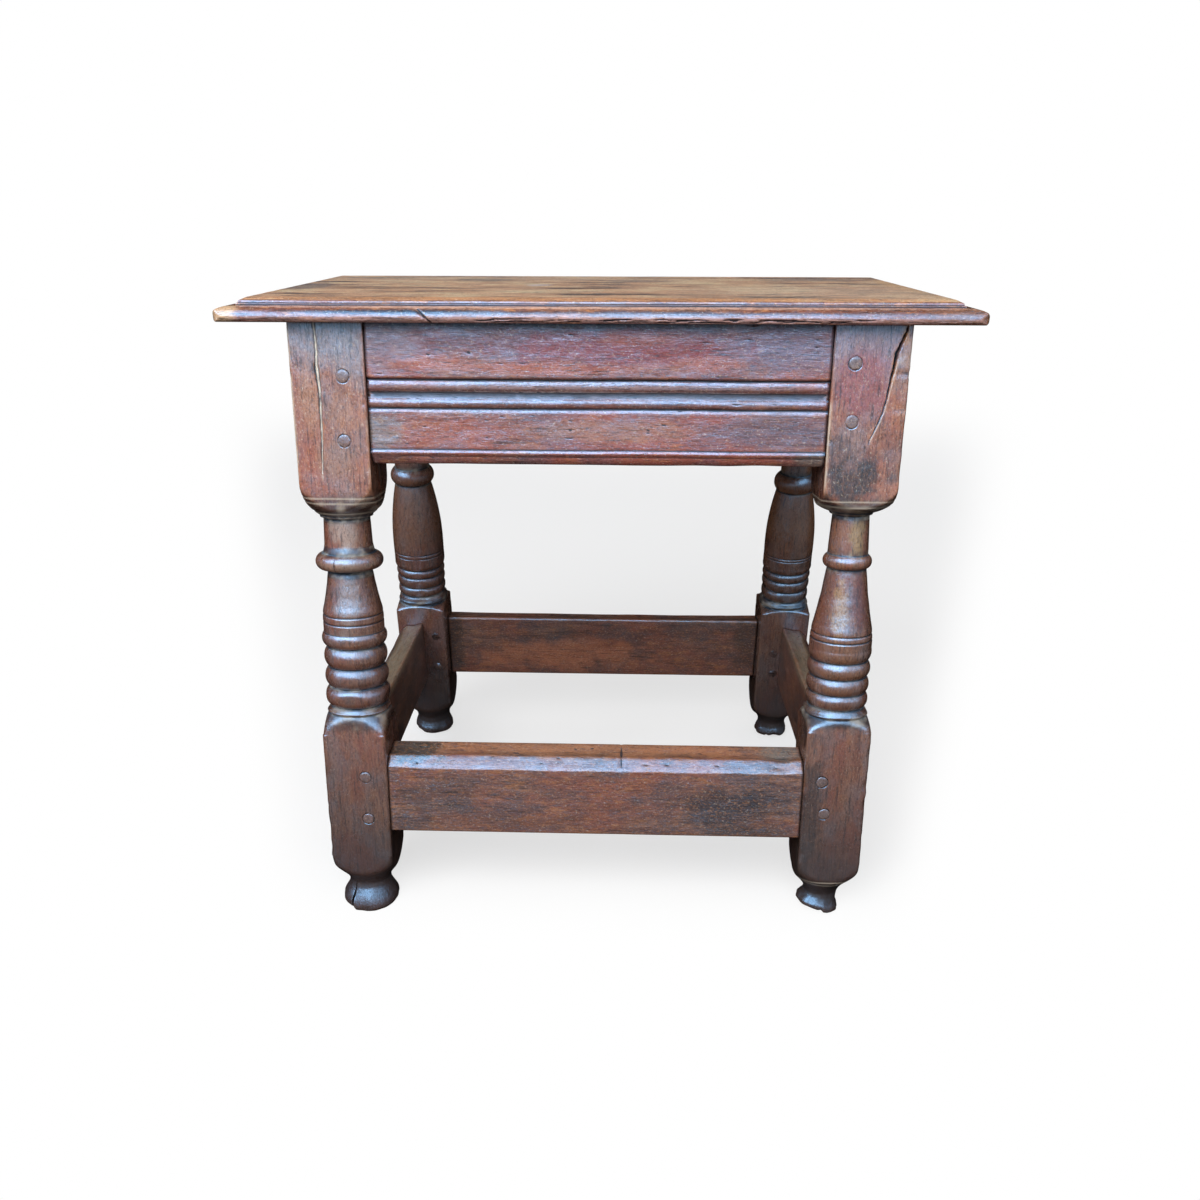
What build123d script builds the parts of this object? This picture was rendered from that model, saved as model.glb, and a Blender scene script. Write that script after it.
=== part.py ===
from build123d import *
import os
from dataclasses import dataclass
from math import cos, radians, sqrt, tan

# Joint stool: a moulded board on four turned legs that splay to the front and
# back, with moulded rails under the board and plain stretchers near the floor.
# Millimetres, +Z up, +X along the board, front towards -Y. The origin is on the
# floor under the middle of the board.

# ---- Overall sizes -------------------------------------------------------
board_length = 480
board_depth = 275
board_thickness = 14
stool_height = 438
leg_splay = 6.0              # degrees from upright, to the front and back only
end_overhang = 43.45         # board past the legs' faces, at its ends
side_overhang = 13.5         # and at its front and back, level with its underside

# ---- Board edge: a thumb moulding under a small step ---------------------
edge_height = 6.2            # underside to the widest line of the edge
edge_undercut = 2.5          # how far the underside lies inside that line
thumb_width = 13.0
thumb_rise = 3.3
step_width = 1.9
step_rise = 3.7
board_corner_radius = 9.0    # in plan; the rounding's straights stand clear of the edge
board_corner_clear = 1.2

# ---- Leg stock -----------------------------------------------------------
upper_block = 48.4           # square section beside the rails
lower_block = 45.2           # square section beside the stretchers
block_arris = 1.2            # rounding along the blocks' edges
upper_block_drop = 105.6     # leg top to where the block's corners end
lower_block_lift = 42.3      # floor to where the lower block's corners start
lower_block_curve = 12.0     # height of the rounded end above the foot
foot_neck_lift = 27.6        # floor to the narrow place above the foot

# ---- Rails ---------------------------------------------------------------
rail_height = 89
rail_thickness = 22
rail_set = 1.0               # face of the rail behind the face of the leg
rail_field_sink = 0.9        # the lower plain field lies this much deeper
moulding_depth = 2.8         # deepest line of the mouldings behind the face
upper_field_height = 34.4
upper_bead_height = 8.8
fillet_height = 3.8
lower_bead_height = 6.4
lower_arris_height = 2.6
foot_bead_height = 4.2       # bead along the lower edge
foot_cove_height = 5.8
foot_cove_depth = 3.4

# ---- Stretchers ----------------------------------------------------------
stretcher_lift = 67.5        # floor to the lower edge
stretcher_height = 58
stretcher_thickness = 26     # front and rear
side_stretcher_thickness = 22.5
stretcher_set = 1.8
stretcher_worn_edge = 5.0    # the feet of sitters have worn the upper outer edge

# ---- Joints --------------------------------------------------------------
tenon_thickness = 9
tenon_from_face = 10         # leg's outer face to the tenon's cheek
mortise_wall = 2.2           # wood between two tenons that meet in a leg
rail_tenon_haunch = 14       # board to the tenon's upper edge
rail_tenon_foot = 5          # tenon's lower edge above the rail's
stretcher_tenon_trim = 2     # tenon inside the stretcher's edges
shoulder_gap = 0.1
tenon_clearance = 0.15
mortise_end_gap = 0.6

# ---- Pegs: riven, eight-sided, driven into round holes -------------------
peg_diameter = 8.6
peg_clearance = 0.1
peg_proud = 0.8
side_peg_past_tenon = 3      # a side peg stops this far inside its tenon
side_peg_setback = 13.5      # shoulder of a side joint to its pegs
side_rail_peg_drops = (30, 70)
side_stretcher_peg_lifts = (12, 45)
board_peg_diameter = 8.0
board_peg_depth = 24         # how far the board's pegs reach into the rails
board_peg_sink = 0.2
board_peg_inset = 125        # from the board's ends


@dataclass
class Leg:
    """One leg: its corner and its own turning, foot and pegs, as the turner left them.

    Drops are measured down the leg from its top, lifts up the leg from the top
    of the lower block's face.
    """
    side: int                # -1 left, +1 right
    out: int                 # -1 front, +1 rear
    shoulder: float          # height of the rounded end under the upper block
    neck_drop: float
    neck_radii: tuple        # at its top and bottom
    collar_drops: tuple      # top and bottom of the collar
    collar_radius: float
    waist_radius: float
    middle_radius: float     # baluster, half way down
    belly_radius: float
    band_lifts: tuple        # two scribed lines and the top of the step bead
    step_radius: float
    groove_lifts: tuple      # above, between and below the three rings
    groove_radius: float
    ring_radii: tuple
    fillet_radius: float
    block_top_lift: float    # floor to the top of the lower block's face
    block_curve: float       # how far its corners start below that
    foot_radii: tuple        # neck, widest and toe
    rail_pegs: tuple         # (distance from the shoulder, drop), twice
    stretcher_pegs: tuple    # (distance from the shoulder, lift above the stretcher's edge), twice


legs = {
    "front_left": Leg(
        side=-1, out=-1, shoulder=22.4, neck_drop=129, neck_radii=(15.8, 16.7),
        collar_drops=(154.4, 166), collar_radius=23.2, waist_radius=16.4,
        middle_radius=19.4, belly_radius=21.2, band_lifts=(72.1, 66.7, 59.4),
        step_radius=22.8, groove_lifts=(48.9, 33.9, 19.1, 5.0), groove_radius=19.2,
        ring_radii=(22.2, 22.5, 23.6), fillet_radius=23.3, block_top_lift=156.3,
        block_curve=14.6, foot_radii=(14.6, 21.2, 16.5),
        rail_pegs=((14.4, 36), (16, 76.7)), stretcher_pegs=((16, 43.0), (15.6, 10.2))),
    "front_right": Leg(
        side=1, out=-1, shoulder=17.0, neck_drop=124, neck_radii=(12.4, 13.8),
        collar_drops=(152, 161.5), collar_radius=16.6, waist_radius=13.8,
        middle_radius=19.2, belly_radius=21.6, band_lifts=(60.1, 55.7, 49.5),
        step_radius=21.7, groove_lifts=(40.4, 28.8, 16.9, 6.4), groove_radius=19.5,
        ring_radii=(21.9, 21.8, 22.0), fillet_radius=23.6, block_top_lift=159.1,
        block_curve=9.0, foot_radii=(11.8, 15.9, 14.5),
        rail_pegs=((13.9, 26.3), (14.5, 62.2)), stretcher_pegs=((12.7, 45.2), (15.9, 20.4))),
    "rear_left": Leg(
        side=-1, out=1, shoulder=20.0, neck_drop=127, neck_radii=(14.4, 15.0),
        collar_drops=(147, 161.5), collar_radius=19.4, waist_radius=16.0,
        middle_radius=21.6, belly_radius=23.2, band_lifts=(51.5, 48.0, 41.2),
        step_radius=22.9, groove_lifts=(35.4, 27.6, 17.5, 9.1), groove_radius=20.6,
        ring_radii=(22.3, 22.4, 22.6), fillet_radius=24.0, block_top_lift=148.5,
        block_curve=4.5, foot_radii=(12.2, 19.0, 15.5),
        rail_pegs=((14.5, 34), (14.5, 73)), stretcher_pegs=((9.4, 49.4), (10.2, 16.4))),
    "rear_right": Leg(
        side=1, out=1, shoulder=20.0, neck_drop=126, neck_radii=(13.0, 13.6),
        collar_drops=(150, 165.5), collar_radius=18.6, waist_radius=15.9,
        middle_radius=21.0, belly_radius=22.2, band_lifts=(51.4, 48.9, 41.2),
        step_radius=22.2, groove_lifts=(35.1, 27.2, 16.9, 6.8), groove_radius=20.2,
        ring_radii=(21.9, 22.0, 22.1), fillet_radius=23.8, block_top_lift=148.8,
        block_curve=4.0, foot_radii=(12.6, 15.8, 15.2),
        rail_pegs=((14.5, 31), (14.5, 70)), stretcher_pegs=((14.7, 35.4), (15.6, 13.9))),
}

# ---- Worked out from the sizes above -------------------------------------
underside = stool_height - board_thickness
leg_length = underside / cos(radians(leg_splay))
upper_half = upper_block / 2
leg_x = board_length / 2 - end_overhang - upper_half
leg_y = board_depth / 2 - side_overhang - upper_half / cos(radians(leg_splay))
lower_half = lower_block / 2
lean = tan(radians(leg_splay))
face_drop = upper_half * lean            # board's underside, met at the leg's outer face
block_trim = 2 * face_drop               # spare length, cut off level at floor and board
level_slab = Pos(0, 0, underside / 2) * Box(2 * board_length, 3 * board_depth, underside)


def frame_place(out):
    """Where the front (-1) or rear (+1) frame leans: local +Z runs up its legs."""
    return Location((0, out * leg_y, underside), (out * leg_splay, 0, 0))


def bead(start, end, reach):
    """Rounded stretch from start to end that stands out to the radius or depth reach."""
    middle = (reach, (start[1] + end[1]) / 2)
    return ThreePointArc(start, middle, end)


def leg_half_section(leg):
    """Radius against height of one leg, closed along its axis."""
    corner = upper_half * sqrt(2)
    low_corner = lower_half * sqrt(2)
    beyond = corner + 5
    block_top = leg.block_top_lift - leg_length
    low_start = block_top - leg.block_curve
    low_end = lower_block_lift - leg_length
    foot_neck = foot_neck_lift - leg_length
    neck_radius, foot_radius, toe_radius = leg.foot_radii
    sole = -leg_length - block_trim
    quirk = 0.8

    shoulder_end = (leg.neck_radii[0] + 2.2, -upper_block_drop - leg.shoulder)
    shoulder_start = (corner, -upper_block_drop)
    shoulder_middle = (upper_half, -upper_block_drop - 0.75 * leg.shoulder)
    collar_top = -leg.collar_drops[0]
    collar_bottom = -leg.collar_drops[1]
    scribed = [block_top + lift for lift in leg.band_lifts]
    grooves = [block_top + lift for lift in leg.groove_lifts]
    belly = leg.belly_radius

    line = [
        Polyline((0, block_trim), (beyond, block_trim), (beyond, -upper_block_drop),
                 shoulder_start),
        ThreePointArc(shoulder_start, shoulder_middle, shoulder_end),
        Polyline(shoulder_end, (shoulder_end[0], -leg.neck_drop),
                 (leg.neck_radii[0], -leg.neck_drop - quirk),
                 (leg.neck_radii[1], collar_top)),
        bead((leg.neck_radii[1], collar_top), (leg.waist_radius, collar_bottom),
             leg.collar_radius),
        bead((leg.waist_radius, collar_bottom), (belly, scribed[0] + quirk), leg.middle_radius),
        Polyline((belly, scribed[0] + quirk), (belly - quirk, scribed[0]),
                 (belly, scribed[0] - quirk), (belly, scribed[1] + quirk),
                 (belly - quirk, scribed[1]), (belly, scribed[1] - quirk),
                 (belly, scribed[2])),
        bead((belly, scribed[2]), (leg.groove_radius, grooves[0]), leg.step_radius),
    ]
    for upper, lower, reach in zip(grooves, grooves[1:], leg.ring_radii):
        line.append(bead((leg.groove_radius, upper), (leg.groove_radius, lower), reach))
    fillet_top = grooves[-1] * 0.4 + block_top * 0.6
    block_edge = (lower_half - quirk / 2, block_top)
    low_corner_start = (low_corner, low_start)
    low_corner_end = (low_corner, low_end)
    block_end = (neck_radius + 3, low_end - lower_block_curve)
    line += [
        Polyline((leg.groove_radius, grooves[-1]), (leg.fillet_radius - quirk, fillet_top),
                 (leg.fillet_radius, fillet_top - quirk / 2), block_edge),
        ThreePointArc(block_edge,
                      ((lower_half + 2 * low_corner) / 3, low_start + 0.4 * leg.block_curve),
                      low_corner_start),
        Polyline(low_corner_start, (beyond, low_start), (beyond, low_end), low_corner_end),
        ThreePointArc(low_corner_end, (lower_half, low_end - 0.6 * lower_block_curve), block_end),
        Polyline(block_end, (neck_radius, foot_neck)),
        bead((neck_radius, foot_neck), (toe_radius, -leg_length - quirk), foot_radius),
        Polyline((toe_radius, -leg_length - quirk), (toe_radius, sole), (0, sole),
                 (0, block_trim)),
    ]
    return make_face(Curve() + line)


def square_stock(width, top, bottom):
    """Square length of leg stock with lightly rounded edges."""
    section = RectangleRounded(width, width, block_arris)
    return Pos(0, 0, bottom) * extrude(section, top - bottom)


def turned_leg(leg):
    """Leg without mortises, in its frame's own axes."""
    change = leg.block_top_lift - leg_length + 1
    stock = square_stock(upper_block, block_trim, change)
    stock += square_stock(lower_block, change, -leg_length - block_trim)
    turning = revolve(Plane.XZ * leg_half_section(leg), Axis.Z)
    return Pos(leg.side * leg_x, 0, 0) * (stock & turning)


# ---- Tenons, mortises and peg places -------------------------------------
def span_box(low, high):
    """Box between two opposite corners."""
    size = [abs(b - a) for a, b in zip(low, high)]
    middle = [(a + b) / 2 for a, b in zip(low, high)]
    return Pos(*middle) * Box(*size)


root_depth = rail_height * lean + shoulder_gap   # tenons start this far inside their members
rail_tenon = (-rail_tenon_haunch, rail_tenon_foot - rail_height)
stretcher_top = stretcher_lift + stretcher_height
stretcher_tenon = (stretcher_top - stretcher_tenon_trim, stretcher_lift + stretcher_tenon_trim)


def tenon_length(half):
    """Shoulder to tip, so that the tenons from two directions clear each other in the leg."""
    return 2 * half - tenon_from_face - tenon_thickness - mortise_wall


def frame_tenon(side, out, half, heights, grow=0.0, end_gap=0.0):
    """Tenon of a front or rear member, in the frame's axes; grown, it is the mortise."""
    shoulder = leg_x - half
    cheek = out * (half - tenon_from_face)
    inner_cheek = cheek - out * tenon_thickness
    root = shoulder - (2 * root_depth if grow else root_depth)
    tip = shoulder + tenon_length(half) + end_gap
    return span_box((side * root, cheek + out * grow, heights[0] + grow),
                    (side * tip, inner_cheek - out * grow, heights[1] - grow))


def side_tenon(side, out, half, heights, grow=0.0, end_gap=0.0):
    """Tenon of a left or right member, level in the stool's axes; grown, it is the mortise."""
    middle = (heights[0] + heights[1]) / 2
    shoulder = leg_y + (underside - middle) * lean - half
    cheek = side * (leg_x + half - tenon_from_face)
    inner_cheek = cheek - side * tenon_thickness
    root = shoulder - (2 * root_depth if grow else root_depth)
    tip = shoulder + tenon_length(half) + end_gap
    return span_box((cheek + side * grow, out * root, heights[0] + grow),
                    (inner_cheek - side * grow, out * tip, heights[1] - grow))


frame_rail_heights = tuple(-face_drop + h for h in rail_tenon)
frame_stretcher_heights = tuple(h - leg_length for h in stretcher_tenon)
side_rail_heights = tuple(underside + h for h in rail_tenon)
side_stretcher_heights = stretcher_tenon


hole_diameter = peg_diameter + 2 * peg_clearance
through = 5.0                # cutters run this far past the faces they cut


def frame_peg_places(leg):
    """Peg centres of a leg's front or rear joints in its frame: (x, height, half of the leg)."""
    places = {"rail": [], "stretcher": []}
    for setback, drop in leg.rail_pegs:
        places["rail"].append((leg.side * (leg_x - upper_half + setback), -drop, upper_half))
    for setback, lift in leg.stretcher_pegs:
        height = stretcher_lift - leg_length + lift
        places["stretcher"].append((leg.side * (leg_x - lower_half + setback), height, lower_half))
    return places


def frame_peg(out, place, diameter, proud, past=0.0, sides=0):
    """Peg right through a leg, flush with its inner face; without sides, its round hole."""
    x, height, half = place
    length = 2 * half + proud + past
    section = RegularPolygon(diameter / 2, sides) if sides else Circle(diameter / 2)
    start = Plane(origin=(x, out * (half + proud), height), z_dir=(0, -out, 0))
    return start * extrude(section, length)


def side_peg_places(leg):
    """Peg centres of a leg's side joints in the stool's axes: (y, z, half of the leg)."""
    places = {"rail": [], "stretcher": []}
    for drop in side_rail_peg_drops:
        height = underside - drop
        inner = leg_y + drop * lean - upper_half
        places["rail"].append((leg.out * (inner + side_peg_setback), height, upper_half))
    for lift in side_stretcher_peg_lifts:
        height = stretcher_lift + lift
        inner = leg_y + (underside - height) * lean - lower_half
        places["stretcher"].append((leg.out * (inner + side_peg_setback), height, lower_half))
    return places


def side_peg(side, place, diameter, proud, extra=0.0, sides=0):
    """Peg into a leg from its outer side face, stopping inside; without sides, its hole."""
    y, height, half = place
    section = RegularPolygon(diameter / 2, sides) if sides else Circle(diameter / 2)
    start = Plane(origin=(side * (leg_x + half + proud), y, height), z_dir=(-side, 0, 0))
    depth = tenon_from_face + tenon_thickness + side_peg_past_tenon
    return start * extrude(section, depth + proud + extra)


def frame_peg_holes(out, kinds=("rail", "stretcher")):
    """Every peg hole of the front or rear frame, in the frame's axes."""
    holes = []
    for leg in legs.values():
        if leg.out == out:
            places = frame_peg_places(leg)
            holes += [frame_peg(out, p, hole_diameter, through, through)
                      for k in kinds for p in places[k]]
    return holes


def side_peg_holes(side, kinds=("rail", "stretcher")):
    """Every peg hole of the left or right side, in the stool's axes."""
    holes = []
    for leg in legs.values():
        if leg.side == side:
            places = side_peg_places(leg)
            holes += [side_peg(side, p, hole_diameter, through, mortise_end_gap)
                      for k in kinds for p in places[k]]
    return holes


# ---- The pieces ----------------------------------------------------------
def finished_leg(leg):
    """Leg with its four mortises and its peg holes, cut level at board and floor."""
    grow, gap = tenon_clearance, mortise_end_gap
    body = turned_leg(leg)
    body -= frame_tenon(leg.side, leg.out, upper_half, frame_rail_heights, grow, gap)
    body -= frame_tenon(leg.side, leg.out, lower_half, frame_stretcher_heights, grow, gap)
    body -= frame_peg_holes(leg.out)
    body = frame_place(leg.out) * body
    body -= side_tenon(leg.side, leg.out, upper_half, side_rail_heights, grow, gap)
    body -= side_tenon(leg.side, leg.out, lower_half, side_stretcher_heights, grow, gap)
    body -= side_peg_holes(leg.side)
    return body & level_slab


def rail_section(top_spare):
    """Rail's section: x outwards from its plain upper face, y up from the board's underside."""
    deep = -moulding_depth
    lower_face = -rail_field_sink
    lines = [0, upper_field_height, upper_bead_height, fillet_height, lower_bead_height,
             lower_arris_height]
    heights = [-sum(lines[:n + 1]) for n in range(len(lines))]
    field_edge, bead_end, fillet_end, bead2_end, arris_end = heights[1:]
    foot = -rail_height
    cove_top = foot + foot_cove_height
    bead3_top = cove_top + foot_bead_height
    quirk = 0.5
    line = [
        Polyline((-rail_thickness, top_spare), (0, top_spare), (0, field_edge),
                 (deep, field_edge - quirk)),
        bead((deep, field_edge - quirk), (deep, bead_end), deep * 0.35),
        Polyline((deep, bead_end), (deep, bead_end - quirk), (deep * 0.75, fillet_end)),
        bead((deep * 0.75, fillet_end), (deep * 0.9, bead2_end), deep * 0.2),
        Polyline((deep * 0.9, bead2_end), (deep * 0.6, bead2_end - quirk), (lower_face, arris_end),
                 (lower_face, bead3_top), (deep * 0.8, bead3_top - quirk)),
        bead((deep * 0.8, bead3_top - quirk), (deep * 0.5, cove_top), 0),
        ThreePointArc((deep * 0.5, cove_top),
                      (deep * 0.5 - foot_cove_depth * 0.45, cove_top - foot_cove_height * 0.7),
                      (deep * 0.5 - foot_cove_depth, foot)),
        Polyline((deep * 0.5 - foot_cove_depth, foot), (-rail_thickness, foot),
                 (-rail_thickness, top_spare)),
    ]
    return make_face(Curve() + line)


def stretcher_section(thickness):
    """Stretcher's section: x outwards, y up from its lower edge; the outer edge is worn off."""
    worn = stretcher_worn_edge
    points = [(-thickness, 0), (0, 0), (0, stretcher_height - worn),
              (-worn, stretcher_height), (-thickness, stretcher_height)]
    return make_face(Polyline(*points, close=True))


def frame_member(out, section, half, face_set, height, tenon_heights, kind):
    """Rail or stretcher of the front or rear frame, with its two tenons and peg holes."""
    length = 2 * (leg_x - half - shoulder_gap)
    start = Plane(origin=(-out * length / 2, out * (half - face_set), height),
                  x_dir=(0, out, 0), z_dir=(out, 0, 0))
    body = extrude(start * section, length)
    for side in (-1, 1):
        body += frame_tenon(side, out, half, tenon_heights)
    body -= frame_peg_holes(out, (kind,))
    return frame_place(out) * body


def side_member(side, section, half, face_set, height, tenon_heights, kind):
    """Rail or stretcher of the left or right side: upright, its shoulders cut to the legs' lean."""
    reach = leg_y + leg_length * lean
    start = Plane(origin=(side * (leg_x + half - face_set), side * reach, height),
                  x_dir=(side, 0, 0), z_dir=(0, -side, 0))
    body = extrude(start * section, 2 * reach)
    inner_top = leg_y - (half + shoulder_gap) / cos(radians(leg_splay))
    inner_floor = inner_top + underside * lean
    wedge = make_face(Polyline((-inner_floor, 0), (inner_floor, 0), (inner_top, underside),
                               (-inner_top, underside), close=True))
    wedge = extrude(Plane.YZ * wedge, 2 * board_length, both=True)
    body = body & wedge
    for out in (-1, 1):
        body += side_tenon(side, out, half, tenon_heights)
    body -= side_peg_holes(side, (kind,))
    return body


def board_profile(half):
    """Moulded section of the board across one direction, from its underside up."""
    thumb_end = half - thumb_width
    step_end = thumb_end - step_width
    thumb_top = edge_height + thumb_rise
    step_top = thumb_top + step_rise
    edges = [
        Line((half - edge_undercut, 0), (edge_undercut - half, 0)),
    ]
    for s, turn in ((1, 0), (-1, 90)):
        edges += [
            TangentArc((s * half, edge_height), (s * (half - edge_undercut), 0), tangent=(0, -1)),
            EllipticalCenterArc((s * thumb_end, edge_height), thumb_width, thumb_rise,
                                start_angle=turn, arc_size=90),
            Polyline((s * thumb_end, thumb_top), (s * (thumb_end - 0.4 * step_width), thumb_top),
                     (s * step_end, step_top),
                     (s * (step_end - step_width), board_thickness)),
        ]
    edges.append(Line((step_end - step_width, board_thickness),
                      (step_width - step_end, board_thickness)))
    return make_face(Curve() + edges)


def top_board():
    """Board with the thumb moulding mitred round it, worn corners and peg holes."""
    across = Plane.XZ.offset(-board_depth) * board_profile(board_length / 2)
    along = Plane.YZ.offset(-board_length) * board_profile(board_depth / 2)
    body = extrude(across, 2 * board_depth) & extrude(along, 2 * board_length)
    clear = 2 * board_corner_clear
    plan = RectangleRounded(board_length + clear, board_depth + clear, board_corner_radius)
    body = body & extrude(plan, board_thickness)
    body = Pos(0, 0, underside) * body
    return body - board_peg_holes()


def board_peg_centres():
    """Middles of the board's pegs, over the middle of the front and rear rails."""
    rail_middle = leg_y + upper_half - rail_set - rail_thickness / 2
    peg_x = board_length / 2 - board_peg_inset
    return [(side * peg_x, out * rail_middle) for side in (-1, 1) for out in (-1, 1)]


def board_peg_holes():
    """Holes for the board's pegs, a little deeper than the pegs."""
    depth = board_thickness + board_peg_depth + mortise_end_gap
    hole = Cylinder(board_peg_diameter / 2 + peg_clearance, depth + through,
                    align=(Align.CENTER, Align.CENTER, Align.MIN))
    return [Pos(x, y, stool_height - depth) * hole for x, y in board_peg_centres()]


def board_pegs():
    """The board's four pegs."""
    length = board_thickness - board_peg_sink + board_peg_depth
    section = RegularPolygon(board_peg_diameter / 2, 8)
    peg = extrude(section, length)
    return [Pos(x, y, underside - board_peg_depth) * peg for x, y in board_peg_centres()]


nodes = {"top_board": top_board(), "top_pegs": Compound(children=board_pegs())}

for name, leg in legs.items():
    nodes["leg_" + name] = finished_leg(leg)

for out, where in ((-1, "front"), (1, "rear")):
    rail = frame_member(out, rail_section(block_trim), upper_half, rail_set, -face_drop,
                        frame_rail_heights, "rail")
    nodes["rail_" + where] = (rail & level_slab) - board_peg_holes()
    nodes["stretcher_" + where] = frame_member(
        out, stretcher_section(stretcher_thickness), lower_half, stretcher_set,
        stretcher_lift - leg_length, frame_stretcher_heights, "stretcher")
    for kind in ("rail", "stretcher"):
        pegs = [frame_place(out) * frame_peg(out, place, peg_diameter, peg_proud, sides=8)
                for leg in legs.values() if leg.out == out
                for place in frame_peg_places(leg)[kind]]
        nodes[f"{kind}_pegs_{where}"] = Compound(children=pegs)

for side, where in ((-1, "left"), (1, "right")):
    nodes["rail_" + where] = side_member(side, rail_section(0), upper_half, rail_set, underside,
                                         side_rail_heights, "rail")
    nodes["stretcher_" + where] = side_member(
        side, stretcher_section(side_stretcher_thickness), lower_half, stretcher_set,
        stretcher_lift, side_stretcher_heights, "stretcher")
    for kind in ("rail", "stretcher"):
        pegs = [side_peg(side, place, peg_diameter, peg_proud, sides=8)
                for leg in legs.values() if leg.side == side
                for place in side_peg_places(leg)[kind]]
        nodes[f"{kind}_pegs_{where}"] = Compound(children=pegs)

os.makedirs("parts", exist_ok=True)
for name, shape in nodes.items():
    export_step(shape, f"parts/{name}.step")
    print(name, len(shape.solids()), round(shape.volume))
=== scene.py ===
import functools
import itertools
import math

import bpy
import numpy as np
from mathutils import Matrix, Vector


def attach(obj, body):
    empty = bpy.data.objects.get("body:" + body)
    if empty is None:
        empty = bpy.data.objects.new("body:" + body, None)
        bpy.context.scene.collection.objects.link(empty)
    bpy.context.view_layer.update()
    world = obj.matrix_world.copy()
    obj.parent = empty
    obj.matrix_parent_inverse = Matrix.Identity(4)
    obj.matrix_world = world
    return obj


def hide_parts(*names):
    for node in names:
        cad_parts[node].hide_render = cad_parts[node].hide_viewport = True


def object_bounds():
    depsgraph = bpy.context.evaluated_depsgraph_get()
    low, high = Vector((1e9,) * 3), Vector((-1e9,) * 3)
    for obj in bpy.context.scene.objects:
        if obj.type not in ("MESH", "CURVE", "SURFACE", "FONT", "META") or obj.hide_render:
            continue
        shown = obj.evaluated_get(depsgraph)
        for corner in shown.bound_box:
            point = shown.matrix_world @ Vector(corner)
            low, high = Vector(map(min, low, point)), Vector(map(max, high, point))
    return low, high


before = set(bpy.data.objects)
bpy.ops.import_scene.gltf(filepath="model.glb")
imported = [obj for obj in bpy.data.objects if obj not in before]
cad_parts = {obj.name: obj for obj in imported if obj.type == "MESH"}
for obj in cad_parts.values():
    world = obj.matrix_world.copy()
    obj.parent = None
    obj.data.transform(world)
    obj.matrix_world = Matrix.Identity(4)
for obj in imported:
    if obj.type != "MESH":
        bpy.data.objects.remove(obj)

bl_info = {
    "name": "Joint Stool",
    "version": (1, 0, 0),
    "blender": (4, 5, 0),
    "location": "3D View > Sidebar > Joint Stool",
    "description": "Aged oak surfaces, worn turnings and riven pegs of a joint stool",
    "category": "Add Mesh",
}

CAD_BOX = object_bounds()
MM = 0.001
SPLAY = math.radians(6.0)            # the legs lean to the front and back
UP = np.array((0.0, 0.0, 1.0))
WHERE = ("front", "rear", "left", "right")
PEG_NODES = [f"{kind}_pegs_{where}" for kind in ("rail", "stretcher") for where in WHERE]
FAR = 20 * MM                        # the finish looks no further than this from a peg's rim
MID_LEG = 0.2                        # a drop between a leg's two blocks, in metres
LOW_WEAR = 0.25                      # from this drop down a leg is worn rounder, in metres


# ---- Numbers ---------------------------------------------------------------
def ease(x):
    """Smooth step from 0 to 1."""
    x = np.clip(x, 0.0, 1.0)
    return x * x * (3 - 2 * x)


def hump(x, centre, width):
    """Soft bump of height 1 about a centre."""
    return np.exp(-((x - centre) / width) ** 2)


def soft_least(first, second, softness):
    """The smaller of two lengths, rounded where they meet."""
    return -softness * np.logaddexp(-first / softness, -second / softness)


def cell_value(cells, seed):
    """A fixed number from -1 to 1 for each whole-number cell."""
    mixed = cells[..., 0] * 73856093 ^ cells[..., 1] * 19349663 ^ cells[..., 2] * 83492791
    mixed = (mixed ^ seed * 2654435) & 0xFFFFFFFF
    mixed = (mixed ^ mixed >> 15) * 2246822519 & 0xFFFFFFFF
    mixed = (mixed ^ mixed >> 13) * 3266489917 & 0xFFFFFFFF
    return ((mixed ^ mixed >> 16) & 0xFFFF) / 32767.5 - 1


def unevenness(points, cell, seed, octaves=2):
    """Smooth noise from about -1 to 1; cell is its size in metres along each axis."""
    total, weight = 0.0, 0.0
    for octave in range(octaves):
        amount = 0.5 ** octave
        scaled = points / np.asarray(cell) * 2 ** octave + 11.37 * (octave + 1)
        base = np.floor(scaled).astype(np.int64)
        part = ease(scaled - base)
        value = 0.0
        for corner in itertools.product((0, 1), repeat=3):
            share = np.prod(np.where(corner, part, 1 - part), axis=-1)
            value = value + share * cell_value(base + corner, seed + 31 * octave)
        total = total + amount * value
        weight += amount
    return total / weight


def lumps(points, cell, seed, octaves=2):
    """Smooth noise from about -1 to 1; cell is its size in mm along each axis."""
    return unevenness(points, np.multiply(cell, MM), seed, octaves)


def smooth_line(x, y, at):
    """Monotone cubic through the points (x, y), read at the places at."""
    step = np.diff(x)
    slope = np.diff(y) / step
    tangent = np.zeros(len(y))
    same = slope[:-1] * slope[1:] > 0
    before, after = 2 * step[1:] + step[:-1], step[1:] + 2 * step[:-1]
    with np.errstate(divide="ignore", invalid="ignore"):
        mean = (before + after) / (before / slope[:-1] + after / slope[1:])
    tangent[1:-1] = np.where(same, mean, 0.0)
    tangent[0], tangent[-1] = slope[0], slope[-1]
    i = np.clip(np.searchsorted(x, at) - 1, 0, len(step) - 1)
    s = np.clip((at - x[i]) / step[i], 0, 1)
    return ((1 + 2 * s) * (1 - s) ** 2 * y[i] + s * (1 - s) ** 2 * step[i] * tangent[i]
            + s * s * (3 - 2 * s) * y[i + 1] + s * s * (s - 1) * step[i] * tangent[i + 1])


def evenly(start, end, spacing):
    """Numbers from start to end, about a spacing apart, with the start and not the end."""
    count = max(1, int(round(abs(end - start) / spacing)))
    return np.linspace(start, end, count, endpoint=False)


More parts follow.
